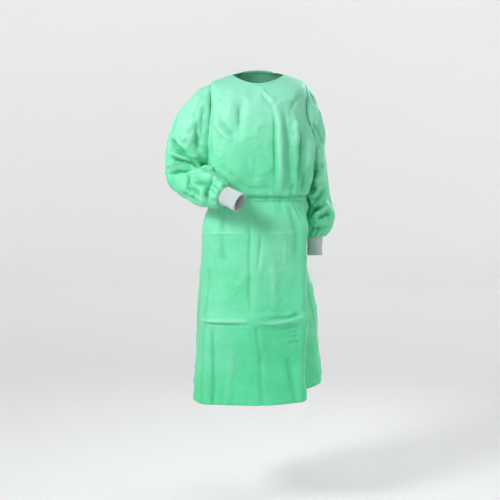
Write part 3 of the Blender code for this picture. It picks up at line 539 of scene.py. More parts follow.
def smooth(rows, at):
    """Monotone cubic through equally spaced rows, at each place in at, with no overshoot."""
    rows = np.asarray(rows, float)
    at = np.clip(np.asarray(at, float), 0, len(rows) - 1)
    steps = np.diff(rows, axis=0)
    before, after = steps[:-1], steps[1:]
    same_way = before * after > 0
    total = np.where(same_way, before + after, 1.0)
    slopes = np.zeros_like(rows)
    slopes[1:-1] = np.where(same_way, 2 * before * after / total, 0.0)
    slopes[0], slopes[-1] = steps[0], steps[-1]
    low = np.minimum(at.astype(int), len(rows) - 2)
    t = at - low
    if rows.ndim > 1:
        t = t.reshape(t.shape + (1,) * (rows.ndim - 1))
    return (
        rows[low] * (1 + 2 * t) * (1 - t) ** 2
        + slopes[low] * t * (1 - t) ** 2
        + rows[low + 1] * t**2 * (3 - 2 * t)
        + slopes[low + 1] * t**2 * (t - 1)
    )


def smoothstep(value):
    """0 below 0, 1 above 1, with an even ease between."""
    value = np.clip(value, 0, 1)
    return value * value * (3 - 2 * value)


def bell(distance):
    """A soft bump: 1 at no distance, and nearly 0 from a distance of 2."""
    return np.exp(-(distance**2))


def named(columns, table):
    """The rows of a table, each with its values by column name."""
    return [dict(zip(columns, row)) for row in table.values()]


def ring_angles(count):
    """Angles evenly round a ring."""
    return np.arange(count) * 2 * math.pi / count


def turn_difference(turn, other):
    """The shorter way round from other to turn, in turns."""
    return (turn - other + 0.5) % 1.0 - 0.5


def unit(vectors):
    """Vectors of length 1 along the last axis."""
    return vectors / np.linalg.norm(vectors, axis=-1, keepdims=True)


def body_offset(turn, z):
    """How far folds, gathers and the pressed line move the body's surface out at a place."""
    offset = np.zeros(np.broadcast(turn, z).shape)
    for fold in named(FOLD_COLUMNS, FOLDS):
        middle = (max(fold["low"], BODY_SECTIONS["hem"][0]) + fold["high"]) / 2
        away = turn_difference(turn, fold["turn"] + fold["lean"] * (z - middle))
        across = bell(away / np.where(away < 0, fold["before"], fold["after"]))
        fade = smoothstep((z - fold["low"]) / fold["fade"])
        fade = fade * smoothstep((fold["high"] - z) / fold["fade"])
        offset = offset + fold["depth"] * across * fade
    gathers = np.cos(2 * math.pi * GATHERS * turn) * bell((z - WAIST_Z) / GATHER_REACH)
    offset = offset + GATHER_SHARE * GATHER_DEPTH * gathers
    before_end = PRESSED_LINE_HALF_TURNS - np.abs(turn_difference(turn, 0.0))
    on_front = smoothstep(before_end / PRESSED_LINE_FADE)
    ridge = np.clip(1 - np.abs(z - PRESSED_LINE_Z) / PRESSED_LINE_REACH, 0, 1)
    return offset + PRESSED_LINE_RISE * ridge * on_front


def body(turn, level):
    """Points of the gown's plain outer surface, at places in turns round it and levels up it."""
    turn, level = np.broadcast_arrays(np.asarray(turn, float), np.asarray(level, float))
    sections = smooth(list(BODY_SECTIONS.values()), level)
    size = dict(zip(BODY_COLUMNS, np.moveaxis(sections, -1, 0)))
    square = size["square"]
    angle = 2 * math.pi * turn
    sine, cosine = np.sin(angle), np.cos(angle)
    across = (sine + square * np.sin(3 * angle)) / (1 - square)
    along = (cosine - square * np.cos(3 * angle)) / (1 - square)
    depth = np.where(cosine > 0, size["front_depth"], size["back_depth"])
    end_z = np.where(cosine > 0, size["front_z"], size["back_z"])
    x = size["half_width"] * across
    y = -depth * along
    z = size["side_z"] + (end_z - size["side_z"]) * cosine**2
    z = z + HEM_LEFT_LIFT * np.clip(sine, 0, 1) ** 2 * np.clip(1 - level, 0, 1)
    tangent_x = size["half_width"] * (cosine + 3 * square * np.cos(3 * angle))
    tangent_y = depth * (sine - 3 * square * np.sin(3 * angle))
    length = np.hypot(tangent_x, tangent_y)
    offset = body_offset(turn, z)
    x = x + offset * tangent_y / length
    y = y - offset * tangent_x / length
    return np.stack([x, y, z], axis=-1)


def body_normals(turn, level, step=1e-4):
    """Unit normals of the body's plain surface."""
    around = body(turn + step, level) - body(turn - step, level)
    upper = body(turn, np.minimum(level + step, TOP_LEVEL))
    return unit(np.cross(around, upper - body(turn, np.maximum(level - step, 0))))


def seam_turns(level, side=0.25):
    """Half a seam's gap at the side of the body, in turns."""
    step = 1e-4
    speed = np.linalg.norm(body(side + step, level) - body(side - step, level), axis=-1)
    return SEAM_GAP / 2 / (speed / (2 * step))


def armhole_cut(level):
    """How many turns the armhole reaches into a panel at a level."""
    height = (level - ARMHOLE_CENTRE) / ARMHOLE_HALF
    return ARMHOLE_TURNS * np.sqrt(np.clip(1 - height**2, 0, None))


def armhole_rim(side, angle):
    """Points of the body along the armhole's edge, down its front and up its back."""
    level = ARMHOLE_CENTRE + ARMHOLE_HALF * np.cos(angle)
    turn = side * (0.25 - ARMHOLE_TURNS * np.sin(angle))
    points, normals = body(turn, level), body_normals(turn, level)
    inward = points.mean(axis=0) - points
    inward -= normals * (inward * normals).sum(axis=-1, keepdims=True)
    return points + unit(inward) * SEAM_GAP


def clear_of_body(points, clearance):
    """The points, with those inside the body or close to it moved straight out of it."""
    levels = np.linspace(0, TOP_LEVEL, CLEAR_LEVELS)
    place = BODY_COLUMNS.index("side_z")
    heights = smooth([row[place] for row in BODY_SECTIONS.values()], levels)
    level = np.interp(points[..., 2], heights, levels)
    polar = np.arctan2(points[..., 0], -points[..., 1]) / (2 * math.pi)
    turn = polar
    for _ in range(CLEAR_PASSES):
        surface = body(turn, level)
        reached = np.arctan2(surface[..., 0], -surface[..., 1]) / (2 * math.pi)
        turn = turn + CLEAR_PULL * turn_difference(polar, reached)
    surface = body(turn, level)
    reach = np.hypot(surface[..., 0], surface[..., 1]) + clearance
    radius = np.hypot(points[..., 0], points[..., 1])
    moved = points.copy()
    moved[..., :2] *= np.maximum(reach / radius, 1)[..., None]
    above = points[..., 2] > BODY_SECTIONS["shoulder"][1]
    return np.where(above[..., None], points, moved)


def sleeve_places():
    """Places along the sleeve's table where the solid's rings lie."""
    places = [
        start + k / count for start, count in enumerate(SLEEVE_ROWS_PER_SPAN) for k in range(count)
    ]
    return np.array([*places, LAST_PLACE], float)


def sleeve_frame(table, side):
    """Centre, half vector to the outer rail, front direction and half depth of each ring."""
    places = sleeve_places()
    size = dict(zip(SLEEVE_COLUMNS, smooth(list(table.values()), places).T))
    outer = np.stack([size["outer_x"], size["outer_y"], size["outer_z"]], axis=-1)
    inner = np.stack([size["inner_x"], size["inner_y"], size["inner_z"]], axis=-1)
    centre = (outer + inner) / 2
    ahead = unit(np.gradient(centre, axis=0))
    sideways = 1 - smoothstep(places / (LEFT_TURN_ROWS if side > 0 else RIGHT_TURN_ROWS))
    ahead[:, 0] += side * sideways * SIDEWAYS_PULL
    for _ in range(HEADING_PASSES):
        ahead[1:-1] = (ahead[:-2] + 2 * ahead[1:-1] + ahead[2:]) / 4
    half = (outer - inner) / 2
    front = unit(side * np.cross(ahead, half))
    return centre, half, front, size["half_depth"]


def wrist_spokes(aim, towards, side, angle):
    """The wrist's axis, and the spokes and outward directions of its oval."""
    axis = np.array(aim) / np.linalg.norm(aim)
    start = unit(towards - axis * (towards @ axis))
    front = side * np.cross(axis, start)
    wide, deep = CUFF_OVALS[side]
    spokes = wide * start * np.cos(angle)[:, None] + deep * front * np.sin(angle)[:, None]
    outward = unit(start * np.cos(angle)[:, None] / wide + front * np.sin(angle)[:, None] / deep)
    return axis, spokes, outward


# Creases


# Odd numbers that scatter the values at the corners of the noise's cells
CELL_X, CELL_Y, CELL_Z = 73856093, 19349663, 83492791
SCATTER, SCATTER_STEP, SCATTER_AGAIN = 1103515245, 12345, 1274126177
KEY_BITS = 0x7FFFFFFF


def noise(points, scale, seed):
    """Smooth noise from -1 to 1 at points, with lumps about scale across."""
    cell = points / scale + seed * 17.31
    base = np.floor(cell).astype(np.int64)
    t = cell - base
    t = t * t * (3 - 2 * t)
    total = np.zeros(points.shape[:-1])
    for corner in itertools.product((0, 1), repeat=3):
        at = base + np.array(corner)
        key = (at[..., 0] * CELL_X) ^ (at[..., 1] * CELL_Y) ^ (at[..., 2] * CELL_Z)
        key = (key * SCATTER + SCATTER_STEP) & KEY_BITS
        key = (key ^ (key >> 13)) * SCATTER_AGAIN & KEY_BITS
        value = (key >> 8) % 65536 / 32767.5 - 1
        total = total + value * np.prod(np.where(corner, t, 1 - t), axis=-1)
    return total


def crinkle(points, layers, seed):
    """Uneven creasing: ridged noise whose lumps get smaller and lower."""
    total = np.zeros(points.shape[:-1])
    for number, (scale, depth) in enumerate(layers):
        wander = noise(points, scale * 2.1, seed + number + 40)[..., None] * scale * 0.6
        ridge = 1 - 2 * np.abs(noise(points + wander, scale, seed + number))
        total = total + depth * ridge
    return total


def near_path(points, path, reach):
    """Which points may lie within reach of a path of points, their distances from it, and how
    far along it their nearest places are."""
    low, high = path.min(axis=0) - reach, path.max(axis=0) + reach
    near = np.flatnonzero(((points > low) & (points < high)).all(axis=1))
    points = points[near]
    best = np.full(len(points), np.inf)
    where = np.zeros(len(points))
    count = len(path) - 1
    for k in range(count):
        step = path[k + 1] - path[k]
        t = np.clip((points - path[k]) @ step / max(step @ step, 1e-12), 0, 1)
        gap = np.linalg.norm(points - path[k] - t[:, None] * step, axis=1)
        nearer = gap < best
        best = np.where(nearer, gap, best)
        where = np.where(nearer, (k + t) / count, where)
    return near, best, where


def crease_offsets(points, creases, surface, scale, hem=None):
    """How far a table's creases move points, and their marks: up to 1 on a pressed line, pale partly
    as a painted highlight, or on a ridge, as a painted highlight, down to -1 deep in a fold, as
    painted shade.

    surface gives the point of the plain surface at a place of the table. A crease that ends
    below hem runs into the hem at its full depth.
    """
    flat = points.reshape(-1, 3)
    offset, pressed_and_painted_light = np.zeros(len(flat)), np.zeros(len(flat))
    share = np.linspace(0, 1, PATH_POINTS)
    weights = ((1 - share) * (1 - 2 * share), 4 * share * (1 - share), share * (2 * share - 1))
    for crease in named(CREASE_COLUMNS, creases):
        first = sum(w * crease[key] for w, key in zip(weights, ("start", "middle", "end")))
        second = sum(w * crease[key] for w, key in zip(weights, ("start_2", "middle_2", "end_2")))
        path = surface(first, second)
        near, gap, along = near_path(flat, path, CREASE_REACH * crease["width"])
        taper = smoothstep(along / CREASE_TAPER)
        if hem is None or crease["end_2"] > hem:
            taper = taper * smoothstep((1 - along) / CREASE_TAPER)
        wobble = 1 + CREASE_WOBBLE * np.sin(19 * along + 7 * crease["start"])
        across = np.exp(-((gap / (crease["width"] * wobble)) ** crease["soft"]))
        offset[near] += scale * crease["depth"] * across * taper
        if crease["soft"] < PRESSED_SOFTNESS:
            pressed_and_painted_light[near] += across * taper * abs(crease["depth"]) / PRESSED_DEPTH
    # Painted shade darkens folds down to -1, and a painted highlight pales ridges up to RIDGE_MARK
    painted_fold_light = np.clip(offset / DEEP_FOLD, -1, RIDGE_MARK)
    crease_marks_and_painted_light = np.clip(np.clip(pressed_and_painted_light, 0, 1) + painted_fold_light, -1, 1)
    return offset.reshape(points.shape[:-1]), crease_marks_and_painted_light.reshape(points.shape[:-1])


def uneven(count, seed, *ranges):
    """Seeded places round a loop, unevenly spaced from 0 to 1, and a draw from each range."""
    draw = np.random.default_rng(seed)
    places = (np.arange(count) + draw.uniform(-0.36, 0.36, count)) / count
    return places, *[draw.uniform(low, high, count) for low, high in ranges]


def panel_offset(turn, z):
    """How the flat panels between the lines of packing stand out."""
    total = np.zeros(np.broadcast(turn, z).shape)
    for line in named(PANEL_LINE_COLUMNS, PANEL_LINES):
        wander = PANEL_WANDER * np.sin(2 * math.pi * (3 * turn + line["middle"]))
        away = np.clip(1 - np.abs(z + wander - line["middle"]) / line["reach"], 0, 1)
        total = total + line["rise"] * away**PANEL_PROFILE
    below, fade = PANEL_SKIRT_FADE
    on_skirt = smoothstep((WAIST_Z - below - z) / fade)
    for side_turn in (PANEL_SIDE_TURN, PANEL_BACK_TURN):
        across = np.clip(1 - np.abs(turn_difference(turn, side_turn)) / PANEL_SIDE_REACH, 0, 1)
        total = total + PANEL_SIDE_RISE * across**PANEL_PROFILE * on_skirt
    return total


def waist_pleats(turn, z):
    """Uneven gathers above and below the tie."""
    total = np.zeros(np.broadcast(turn, z).shape)
    above = z > WAIST_Z
    drawn = uneven(
        WAIST_PLEATS, PLEAT_SEED, PLEAT_DEPTH, PLEAT_WIDTH, PLEAT_REACH_UP, PLEAT_REACH_DOWN,
        PLEAT_LEAN,
    )
    for place, depth, width, up, down, lean in zip(*drawn):
        away = turn_difference(turn, place + lean * (z - WAIST_Z)) * PLEAT_GIRTH
        grow = 1 + np.abs(z - WAIST_Z) / PLEAT_SPREAD
        reach = np.where(above, up, down)
        along = bell((z - WAIST_Z) / reach)
        total = total - depth * bell(away / (width * grow)) * along
    return total


def level_at(turn, z):
    """The level at a height, for each of the places round the body."""
    levels = np.linspace(0, TOP_LEVEL, LOOKUP_LEVELS)
    turn, z = np.broadcast_arrays(np.asarray(turn, float), np.asarray(z, float))
    grid = body(turn.reshape(-1)[:, None], levels[None, :])[..., 2]
    found = [np.interp(height, row, levels) for height, row in zip(z.reshape(-1), grid)]
    return np.array(found).reshape(turn.shape)


def body_place(turn, z):
    """The point of the plain body at a turn and height."""
    return body(turn, level_at(turn, z))


RIM_ANGLES = np.linspace(0, 2 * math.pi, 73)
RIMS = {side: armhole_rim(side, RIM_ANGLES) for side in (-1, 1)}


def seam_puckers(points):
    """The armholes' seams: a groove with small puckers across it."""
    flat = points.reshape(-1, 3)
    total = np.zeros(len(flat))
    for rim in RIMS.values():
        near, gap, along = near_path(flat, rim, RIM_REACH)
        wander = PUCKER_WANDER * np.sin(PUCKER_WANDER_RATE * along)
        wave = np.cos(2 * math.pi * (PUCKERS * along + wander))
        groove = -ARMHOLE_GROOVE * bell(gap / ARMHOLE_GROOVE_WIDTH)
        total[near] += groove + PUCKER_RISE * wave * bell((gap - PUCKER_AWAY) / PUCKER_REACH)
    return total.reshape(points.shape[:-1])


def turned_edge(from_edge):
    """How far the doubled cloth of a turned edge stands out, at a distance from the edge."""
    return HEM_RISE * smoothstep((HEM_DEPTH - from_edge) / HEM_EDGE)


def dressed(turn, level):
    """Points of the creased body, its normals, and the marks of its creases: painted shade and
    highlights.
    """
    turn, level = np.broadcast_arrays(np.asarray(turn, float), np.asarray(level, float))
    plain, normals = body(turn, level), body_normals(turn, level)
    z = plain[..., 2]
    offset, crease_marks_and_painted_light = crease_offsets(
        plain, BODY_CREASES, body_place, BODY_CREASE_SCALE, HEM_REACHED
    )
    offset = offset + waist_pleats(turn, z) + panel_offset(turn, z)
    offset = offset + BLOUSE_OVER * bell((z - WAIST_Z - BLOUSE_RISE) / BLOUSE_REACH)
    (neck_share, neck_z, neck_fade), (tie_share, tie_reach) = NECK_CALM, TIE_CALM
    calm = 1 - neck_share * smoothstep((z - neck_z) / neck_fade)
    calm = calm - tie_share * bell((z - WAIST_Z) / tie_reach)
    offset = offset + calm * crinkle(plain, CRINKLES, CRINKLE_SEED)
    offset = offset + seam_puckers(plain)
    side_gap = np.abs(np.abs(turn_difference(turn, 0.0)) - 0.25)
    offset = offset - SIDE_GROOVE * bell(side_gap * GIRTH / SIDE_GROOVE_WIDTH)
    offset = offset + np.where(level < 1, turned_edge(level * HEM_SPAN), 0.0)
    points = plain + offset[..., None] * normals
    on_flap = bell(turn_difference(turn, FLAP_TURN) / FLAP_TURNS)
    points[..., 2] += FLAP_LIFT * on_flap * np.clip(1 - level, 0, 1)
    return points, normals, crease_marks_and_painted_light


# Meshes


def new_object(name, points, faces, finish, rounded=True):
    """An object in the scene, made of points and faces, with one finish."""
    mesh = bpy.data.meshes.new(name)
    mesh.from_pydata(points, [], faces)
    if rounded:
        mesh.shade_smooth()
    mesh.materials.append(finish)
    obj = bpy.data.objects.new(name, mesh)
    bpy.context.scene.collection.objects.link(obj)
    return obj


def walked(gaps):
    """How far along a path each of its points lies, from the gaps between them."""
    return np.concatenate([[0], np.cumsum(gaps)])


def facing(side, *grids):
    """The grids, with their columns turned round on the wearer's right, to face outward."""
    return [grid[:, ::-1] if side < 0 else grid for grid in grids]


def corners(rows, columns):
    """Row and column of each quad's four corners, from four arrays of each."""
    return np.stack([np.stack(rows, 1), np.stack(columns, 1)], -1)


def shell(name, outer, normals, wall, finish, around=False, crease_marks_and_painted_light=None):
    """A closed thin wall between rows of outer points and the same points moved in."""
    rows, columns = outer.shape[:2]
    inner = outer - wall * normals
    points = np.concatenate([outer.reshape(-1, 3), inner.reshape(-1, 3)])
    total = rows * columns
    spans = np.arange(columns if around else columns - 1)
    i, j = (grid.ravel() for grid in np.meshgrid(np.arange(rows - 1), spans, indexing="ij"))
    places = corners((i, i, i + 1, i + 1), (j, j + 1, j + 1, j))
    quads = places[..., 0] * columns + places[..., 1] % columns
    faces = [quads, quads[:, ::-1] + total]
    corner_places = [places, places[:, ::-1]]
    rims = [(np.full_like(spans, row), spans, 0, 1, row == 0) for row in (0, rows - 1)]
    if not around:
        ups = np.arange(rows - 1)
        rims += [
            (ups, np.full_like(ups, column), 1, 0, column > 0) for column in (0, columns - 1)
        ]
    for row, column, row_step, column_step, turned in rims:
        next_row, next_column = row + row_step, column + column_step
        spot = corners((row, next_row, next_row, row), (column, next_column, next_column, column))
        edge = spot[..., 0] * columns + spot[..., 1] % columns + np.array([0, 0, total, total])
        faces.append(edge[:, ::-1] if turned else edge)
        corner_places.append(spot[:, ::-1] if turned else spot)
    obj = new_object(name, points.tolist(), np.concatenate(faces).tolist(), finish)
    ring = np.concatenate([outer, outer[:, :1]], axis=1) if around else outer
    across = walked(np.linalg.norm(np.diff(ring, axis=1), axis=-1).mean(axis=0))
    upward = walked(np.linalg.norm(np.diff(outer, axis=0), axis=-1).mean(axis=1))
    corner_places = np.concatenate(corner_places)
    uv = np.stack([across[corner_places[..., 1]], upward[corner_places[..., 0]]], -1)
    uv_layer = obj.data.uv_layers.new(name="cloth")
    uv_layer.data.foreach_set("uv", uv.astype(np.float32).ravel())
    values = np.zeros(2 * total, np.float32)
    if crease_marks_and_painted_light is not None:
        values[:total] = crease_marks_and_painted_light.ravel()
    # The marks go to the material as a point attribute: painted shade in folds, painted highlights on
    # ridges and pressed lines
    obj.data.attributes.new("pressed_and_painted_light", "FLOAT", "POINT").data.foreach_set("value", values)
    return obj


def dress(obj, slot, *nodes):
    """Hangs a finished piece on the root and hides the solids it stands for; its slot is not used."""
    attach(obj, "root")
    if nodes:
        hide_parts(*nodes)
    return obj


def stitches(name, points, normals, finish):
    """A row of raised stitches along a path of points on a surface."""
    lengths = walked(np.linalg.norm(np.diff(points, axis=0), axis=1))
    middles = np.arange(STITCH_PITCH, lengths[-1] - STITCH_PITCH / 2, STITCH_PITCH)
    verts, faces = [], []

    def at(grid, place):
        """The value of a grid of points or normals at a length along the path."""
        return np.array([np.interp(place, lengths, grid[:, k]) for k in range(3)])

    for middle in middles:
        start, end = at(points, middle - STITCH_LENGTH / 2), at(points, middle + STITCH_LENGTH / 2)
        centre, normal = at(points, middle), unit(at(normals, middle))
        side = np.cross(normal, end - start)
        side *= STITCH_WIDTH / 2 / max(np.linalg.norm(side), 1e-9)
        rise = normal * STITCH_LIFT
        base = len(verts)
        verts.extend([start, end, centre + side, centre + rise, centre - side, centre - rise])
        for k in range(4):
            one, two = base + 2 + k, base + 2 + (k + 1) % 4
            faces.extend([(base, two, one), (base + 1, one, two)])
    obj = new_object(name, [tuple(v) for v in verts], faces, finish, rounded=False)
    return dress(obj, "green_nonwoven")


# Finishes, where tree is a material's node tree


def new_material(name):
    """A material, its node tree, its Principled shader and its object coordinates."""
    made = bpy.data.materials.new(name)
    made.use_nodes = True
    place = made.node_tree.nodes.new("ShaderNodeTexCoord")
    return made, made.node_tree, made.node_tree.nodes["Principled BSDF"], place.outputs["Object"]


def add(tree, kind, vector=None, **values):
    """A node with its inputs set by name, its other properties, and its vector's source."""
    node = tree.nodes.new(kind)
    for key, value in values.items():
        socket = node.inputs.get(key.replace("_", " "))
        if socket is not None:
            socket.default_value = value
        else:
            setattr(node, key, value)
    if vector is not None:
        tree.links.new(vector, node.inputs["Vector"])
    return node


def noise_texture(tree, vector, scale, detail, roughness=0.5, **values):
    """The value of a noise texture."""
    kind = "ShaderNodeTexNoise"
    node = add(tree, kind, vector, Scale=scale, Detail=detail, Roughness=roughness, **values)
    return node.outputs["Fac"]


def mixed(tree, factor, one, two):
    """The colour socket of a mix of two colours or colour sockets by a factor socket."""
    node = tree.nodes.new("ShaderNodeMix")
    node.data_type = "RGBA"
    for socket, value in ((node.inputs[0], factor), (node.inputs[6], one), (node.inputs[7], two)):
        if isinstance(value, bpy.types.NodeSocket):
            tree.links.new(value, socket)
        else:
            socket.default_value = value
    return node.outputs[2]


def ranged(tree, source, low, high, to_low, to_high):
    """A value moved from one range to another."""
    node = tree.nodes.new("ShaderNodeMapRange")
    tree.links.new(source, node.inputs["Value"])
    for key, value in zip(("From Min", "From Max", "To Min", "To Max"), (low, high, to_low, to_high)):
        node.inputs[key].default_value = value
    return node.outputs["Result"]


def coloured(tree, shader, colour, layers):
    """Sets the colour to a first one with tints over it: each row has the value that shares the
    tint out, the value's range, the range of the tint's share, and the tint."""
    for source, low, high, to_low, to_high, tint in layers:
        colour = mixed(tree, ranged(tree, source, low, high, to_low, to_high), colour, tint)
    tree.links.new(colour, shader.inputs["Base Color"])


def surfaced(tree, shader, roughness, heights, **values):
    """Sets the roughness from a value and its ranges, the shader's other values, and bumps that
    lie on each other, as rows of height, strength and distance."""
    tree.links.new(ranged(tree, *roughness), shader.inputs["Roughness"])
    for key, value in values.items():
        shader.inputs[key.replace("_", " ")].default_value = value
    surface = None
    for height, strength, distance in heights:
        node = add(tree, "ShaderNodeBump", Strength=strength, Distance=distance)
        tree.links.new(height, node.inputs["Height"])
        if surface is not None:
            tree.links.new(surface, node.inputs["Normal"])
        surface = node.outputs["Normal"]
    tree.links.new(surface, shader.inputs["Normal"])


def nonwoven():
    """Coated spun non-woven: cloudy mint, dots of the bonding roll, fine fibres and crinkles.

    The cloth is painted paler higher up, over the upper skirt and more over the chest and shoulders,
    as light falling from above, and is paler in loose patches; pressed lines are pale, partly as a
    painted highlight, ridges carry a painted highlight, and folds are painted deeper as shade.
    """
    made, tree, shader, place = new_material("green_nonwoven")
    cloth = add(tree, "ShaderNodeUVMap", uv_map="cloth").outputs["UV"]
    height = add(tree, "ShaderNodeSeparateXYZ", place).outputs["Z"]
    patch = noise_texture(tree, place, 3.6, 3.0, 0.45)
    cloud = noise_texture(tree, place, 11.0, 5.0, 0.55)
    speck = noise_texture(tree, place, 160.0, 3.0, 0.6)
    crease = noise_texture(tree, place, 26.0, 4.0, 0.62, Distortion=0.8)
    fibre = noise_texture(tree, place, 900.0, 2.0, 0.6)
    tilt = add(tree, "ShaderNodeMapping", cloth, Rotation=(0.0, 0.0, math.radians(45)))
    bond = add(tree, "ShaderNodeTexVoronoi", tilt.outputs["Vector"], Scale=620.0, Randomness=0.0)
    dots = bond.outputs["Distance"]
    crease_marks_and_painted_light = add(tree, "ShaderNodeAttribute", attribute_name="pressed_and_painted_light").outputs["Fac"]
    coloured(tree, shader, MINT_DEEP, (
        (cloud, 0.34, 0.70, 0.00, 1.00, MINT),
        # Painted light from above: paler over the upper skirt, and more over the chest and shoulders
        (height, -0.88, -0.64, 0.00, 0.17, MINT_PALE),
        (height, -0.30, -0.11, 0.00, 0.46, MINT_PALE),
        (patch, 0.38, 0.62, 0.00, 0.28, MINT_PALE),
        (speck, 0.35, 0.75, 0.00, 0.18, MINT_PALE),
        (dots, 0.18, 0.34, 0.16, 0.00, MINT_PALE),
        # Painted shade deep in folds; painted highlights on ridges, and pressed lines pale partly as
        # a highlight
        (crease_marks_and_painted_light, -0.12, -0.95, 0.00, 0.72, MINT_SHADE),
        (crease_marks_and_painted_light, 0.08, 0.95, 0.00, 0.50, MINT_PALE),
    ))
    heights = (
        (crease, 0.42, 0.004),
        (speck, 0.16, 0.0006),
        (dots, 0.10, 0.0003),
        (fibre, 0.10, 0.0002),
    )
    surfaced(
        tree, shader, (cloud, 0.3, 0.7, 0.56, 0.72), heights, Specular_IOR_Level=0.7, IOR=1.50,
        Sheen_Weight=0.10, Sheen_Roughness=0.35, Sheen_Tint=(0.86, 0.96, 1.0, 1.0),
        Coat_Weight=0.05, Coat_Roughness=0.40,
    )
    return made


def knit():
    """White rib knit: small stitches, with painted shade between them."""
    made, tree, shader, place = new_material("white_knit")
    cloth = add(tree, "ShaderNodeUVMap", uv_map="cloth").outputs["UV"]
    loops = add(tree, "ShaderNodeTexVoronoi", cloth, Scale=720.0, Randomness=0.12)
    between = loops.outputs["Distance"]
    fuzz = noise_texture(tree, place, 420.0, 3.0, 0.6)
    cloud = noise_texture(tree, place, 40.0, 2.0, 0.5)
    coloured(tree, shader, KNIT_WHITE, (
        # Painted shade between the stitches; the cloud is the knit's own uneven tone
        (between, 0.25, 0.62, 0.00, 0.75, KNIT_SHADE),
        (cloud, 0.35, 0.75, 0.00, 0.25, KNIT_SHADE),
    ))
    heights = ((between, 0.55, 0.0006), (fuzz, 0.25, 0.0004))
    rough = (fuzz, 0.3, 0.7, 0.78, 0.95)
    surfaced(tree, shader, rough, heights, Sheen_Weight=0.25, Sheen_Roughness=0.5)
    return made


def thread():
    """Sewing thread: plied, a little paler than the cloth."""
    made, tree, shader, place = new_material("green_thread")
    ply = noise_texture(tree, place, 1500.0, 2.0)
    coloured(tree, shader, THREAD, ((ply, 0.35, 0.65, 0.0, 0.5, MINT),))
    surfaced(tree, shader, (ply, 0.3, 0.7, 0.5, 0.7), ((ply, 0.3, 0.0002),))
    return made


# Pieces


def dense_levels():
    """Levels of the shells' rows, closer at the lines of packing and the armhole's ends."""
    levels = []
    for start in range(TOP_LEVEL):
        low, high = body(0.0, float(start)), body(0.0, float(start + 1))
        length = np.linalg.norm(high - low)
        walk = np.linspace(0, 1, LEVEL_WALK)
        z = body(0.0, start + walk)[:, 2]
        gaps = np.min([np.abs(z - line[0]) for line in PANEL_LINES.values()], axis=0)
        step = np.where(gaps < FINE_REACH, FINE_ROW_STEP, ROW_STEP)
        rows = walked(length / (LEVEL_WALK - 1) / step[:-1])
        count = max(LEAST_ROWS, math.ceil(rows[-1]))
        share = np.interp(np.arange(count) / count * rows[-1], rows, walk)
        if start == LEVELS["underarm"]:
            share = (1 - np.cos(math.pi * np.arange(ARMHOLE_ROWS) / ARMHOLE_ROWS)) / 2
        levels.extend(start + share)
    return np.array([*levels, TOP_LEVEL], float)


def front_panel(finish):
    """The front panel's shell."""
    levels = dense_levels()[:, None]
    share = np.linspace(-1, 1, FRONT_COLUMNS)[None, :]
    turns = share * (0.25 - armhole_cut(levels) - seam_turns(levels))
    points, normals, crease_marks_and_painted_light = dressed(turns, levels)
    obj = shell("gown_front", points, normals, SHELL_WALL, finish, crease_marks_and_painted_light=crease_marks_and_painted_light)
    dress(obj, "green_nonwoven", "front_panel")


def inner_layer(points, normals, away):
    """Steps the inner back panel in before it passes under the outer one."""
    stepped = smoothstep((away - (0.5 - OVERLAP_TURNS - STEP_TURNS)) / STEP_TURNS)
    return points - LAYER_STEP * stepped[..., None] * normals


def back_panel(name, node, side, inner, finish):
    """A back panel's shell, from its side seam past the centre back."""
    levels = dense_levels()[:, None]
    share = np.linspace(0, 1, BACK_COLUMNS)[None, :]
    start = 0.25 + armhole_cut(levels) + seam_turns(levels)
    away = start + share * (0.5 + OVERLAP_TURNS - start)
    points, normals, crease_marks_and_painted_light = dressed(side * away, levels)
    edge = (0.5 + OVERLAP_TURNS - away) * GIRTH
    points = points + turned_edge(edge)[..., None] * normals
    if inner:
        points = inner_layer(points, normals, away)
    points, normals, crease_marks_and_painted_light = facing(side, points, normals, crease_marks_and_painted_light)
    obj = shell(name, points, normals, SHELL_WALL, finish, crease_marks_and_painted_light=crease_marks_and_painted_light)
    dress(obj, "green_nonwoven", node)


def wide_offset(creases, place, angle):
    """The solid's own broad creases of a sleeve."""
    offset = np.zeros(np.broadcast(place, angle).shape)
    for crease in named(WIDE_CREASE_COLUMNS, creases):
        turned = turn_difference(angle / (2 * math.pi), crease["angle"] / 360) * 360
        along = bell((place - crease["along"]) / crease["half_along"])
        offset = offset + crease["depth"] * along * bell(turned / crease["half_angle"])
    return offset


def sleeve_pleats(place, angle, seed):
    """Uneven gathers that run into the cuff's seam."""
    total = np.zeros(np.broadcast(place, angle).shape)
    drawn = uneven(
        SLEEVE_PLEATS, seed, SLEEVE_PLEAT_DEPTH, SLEEVE_PLEAT_WIDTH, SLEEVE_PLEAT_REACH,
        SLEEVE_PLEAT_LEAN,
    )
    before = LAST_PLACE - place
    for spot, depth, width, reach, lean in zip(*drawn):
        away = turn_difference(angle / (2 * math.pi), spot + lean * before)
        along = smoothstep((reach - before) / reach * 1.5)
        along = along * (1 - SLEEVE_PLEAT_END * smoothstep(1 - before))
        spread = width * (1 + SLEEVE_PLEAT_SPREAD * before)
        total = total + depth * (SLEEVE_PLEAT_OUT - bell(away / spread)) * along
    return total


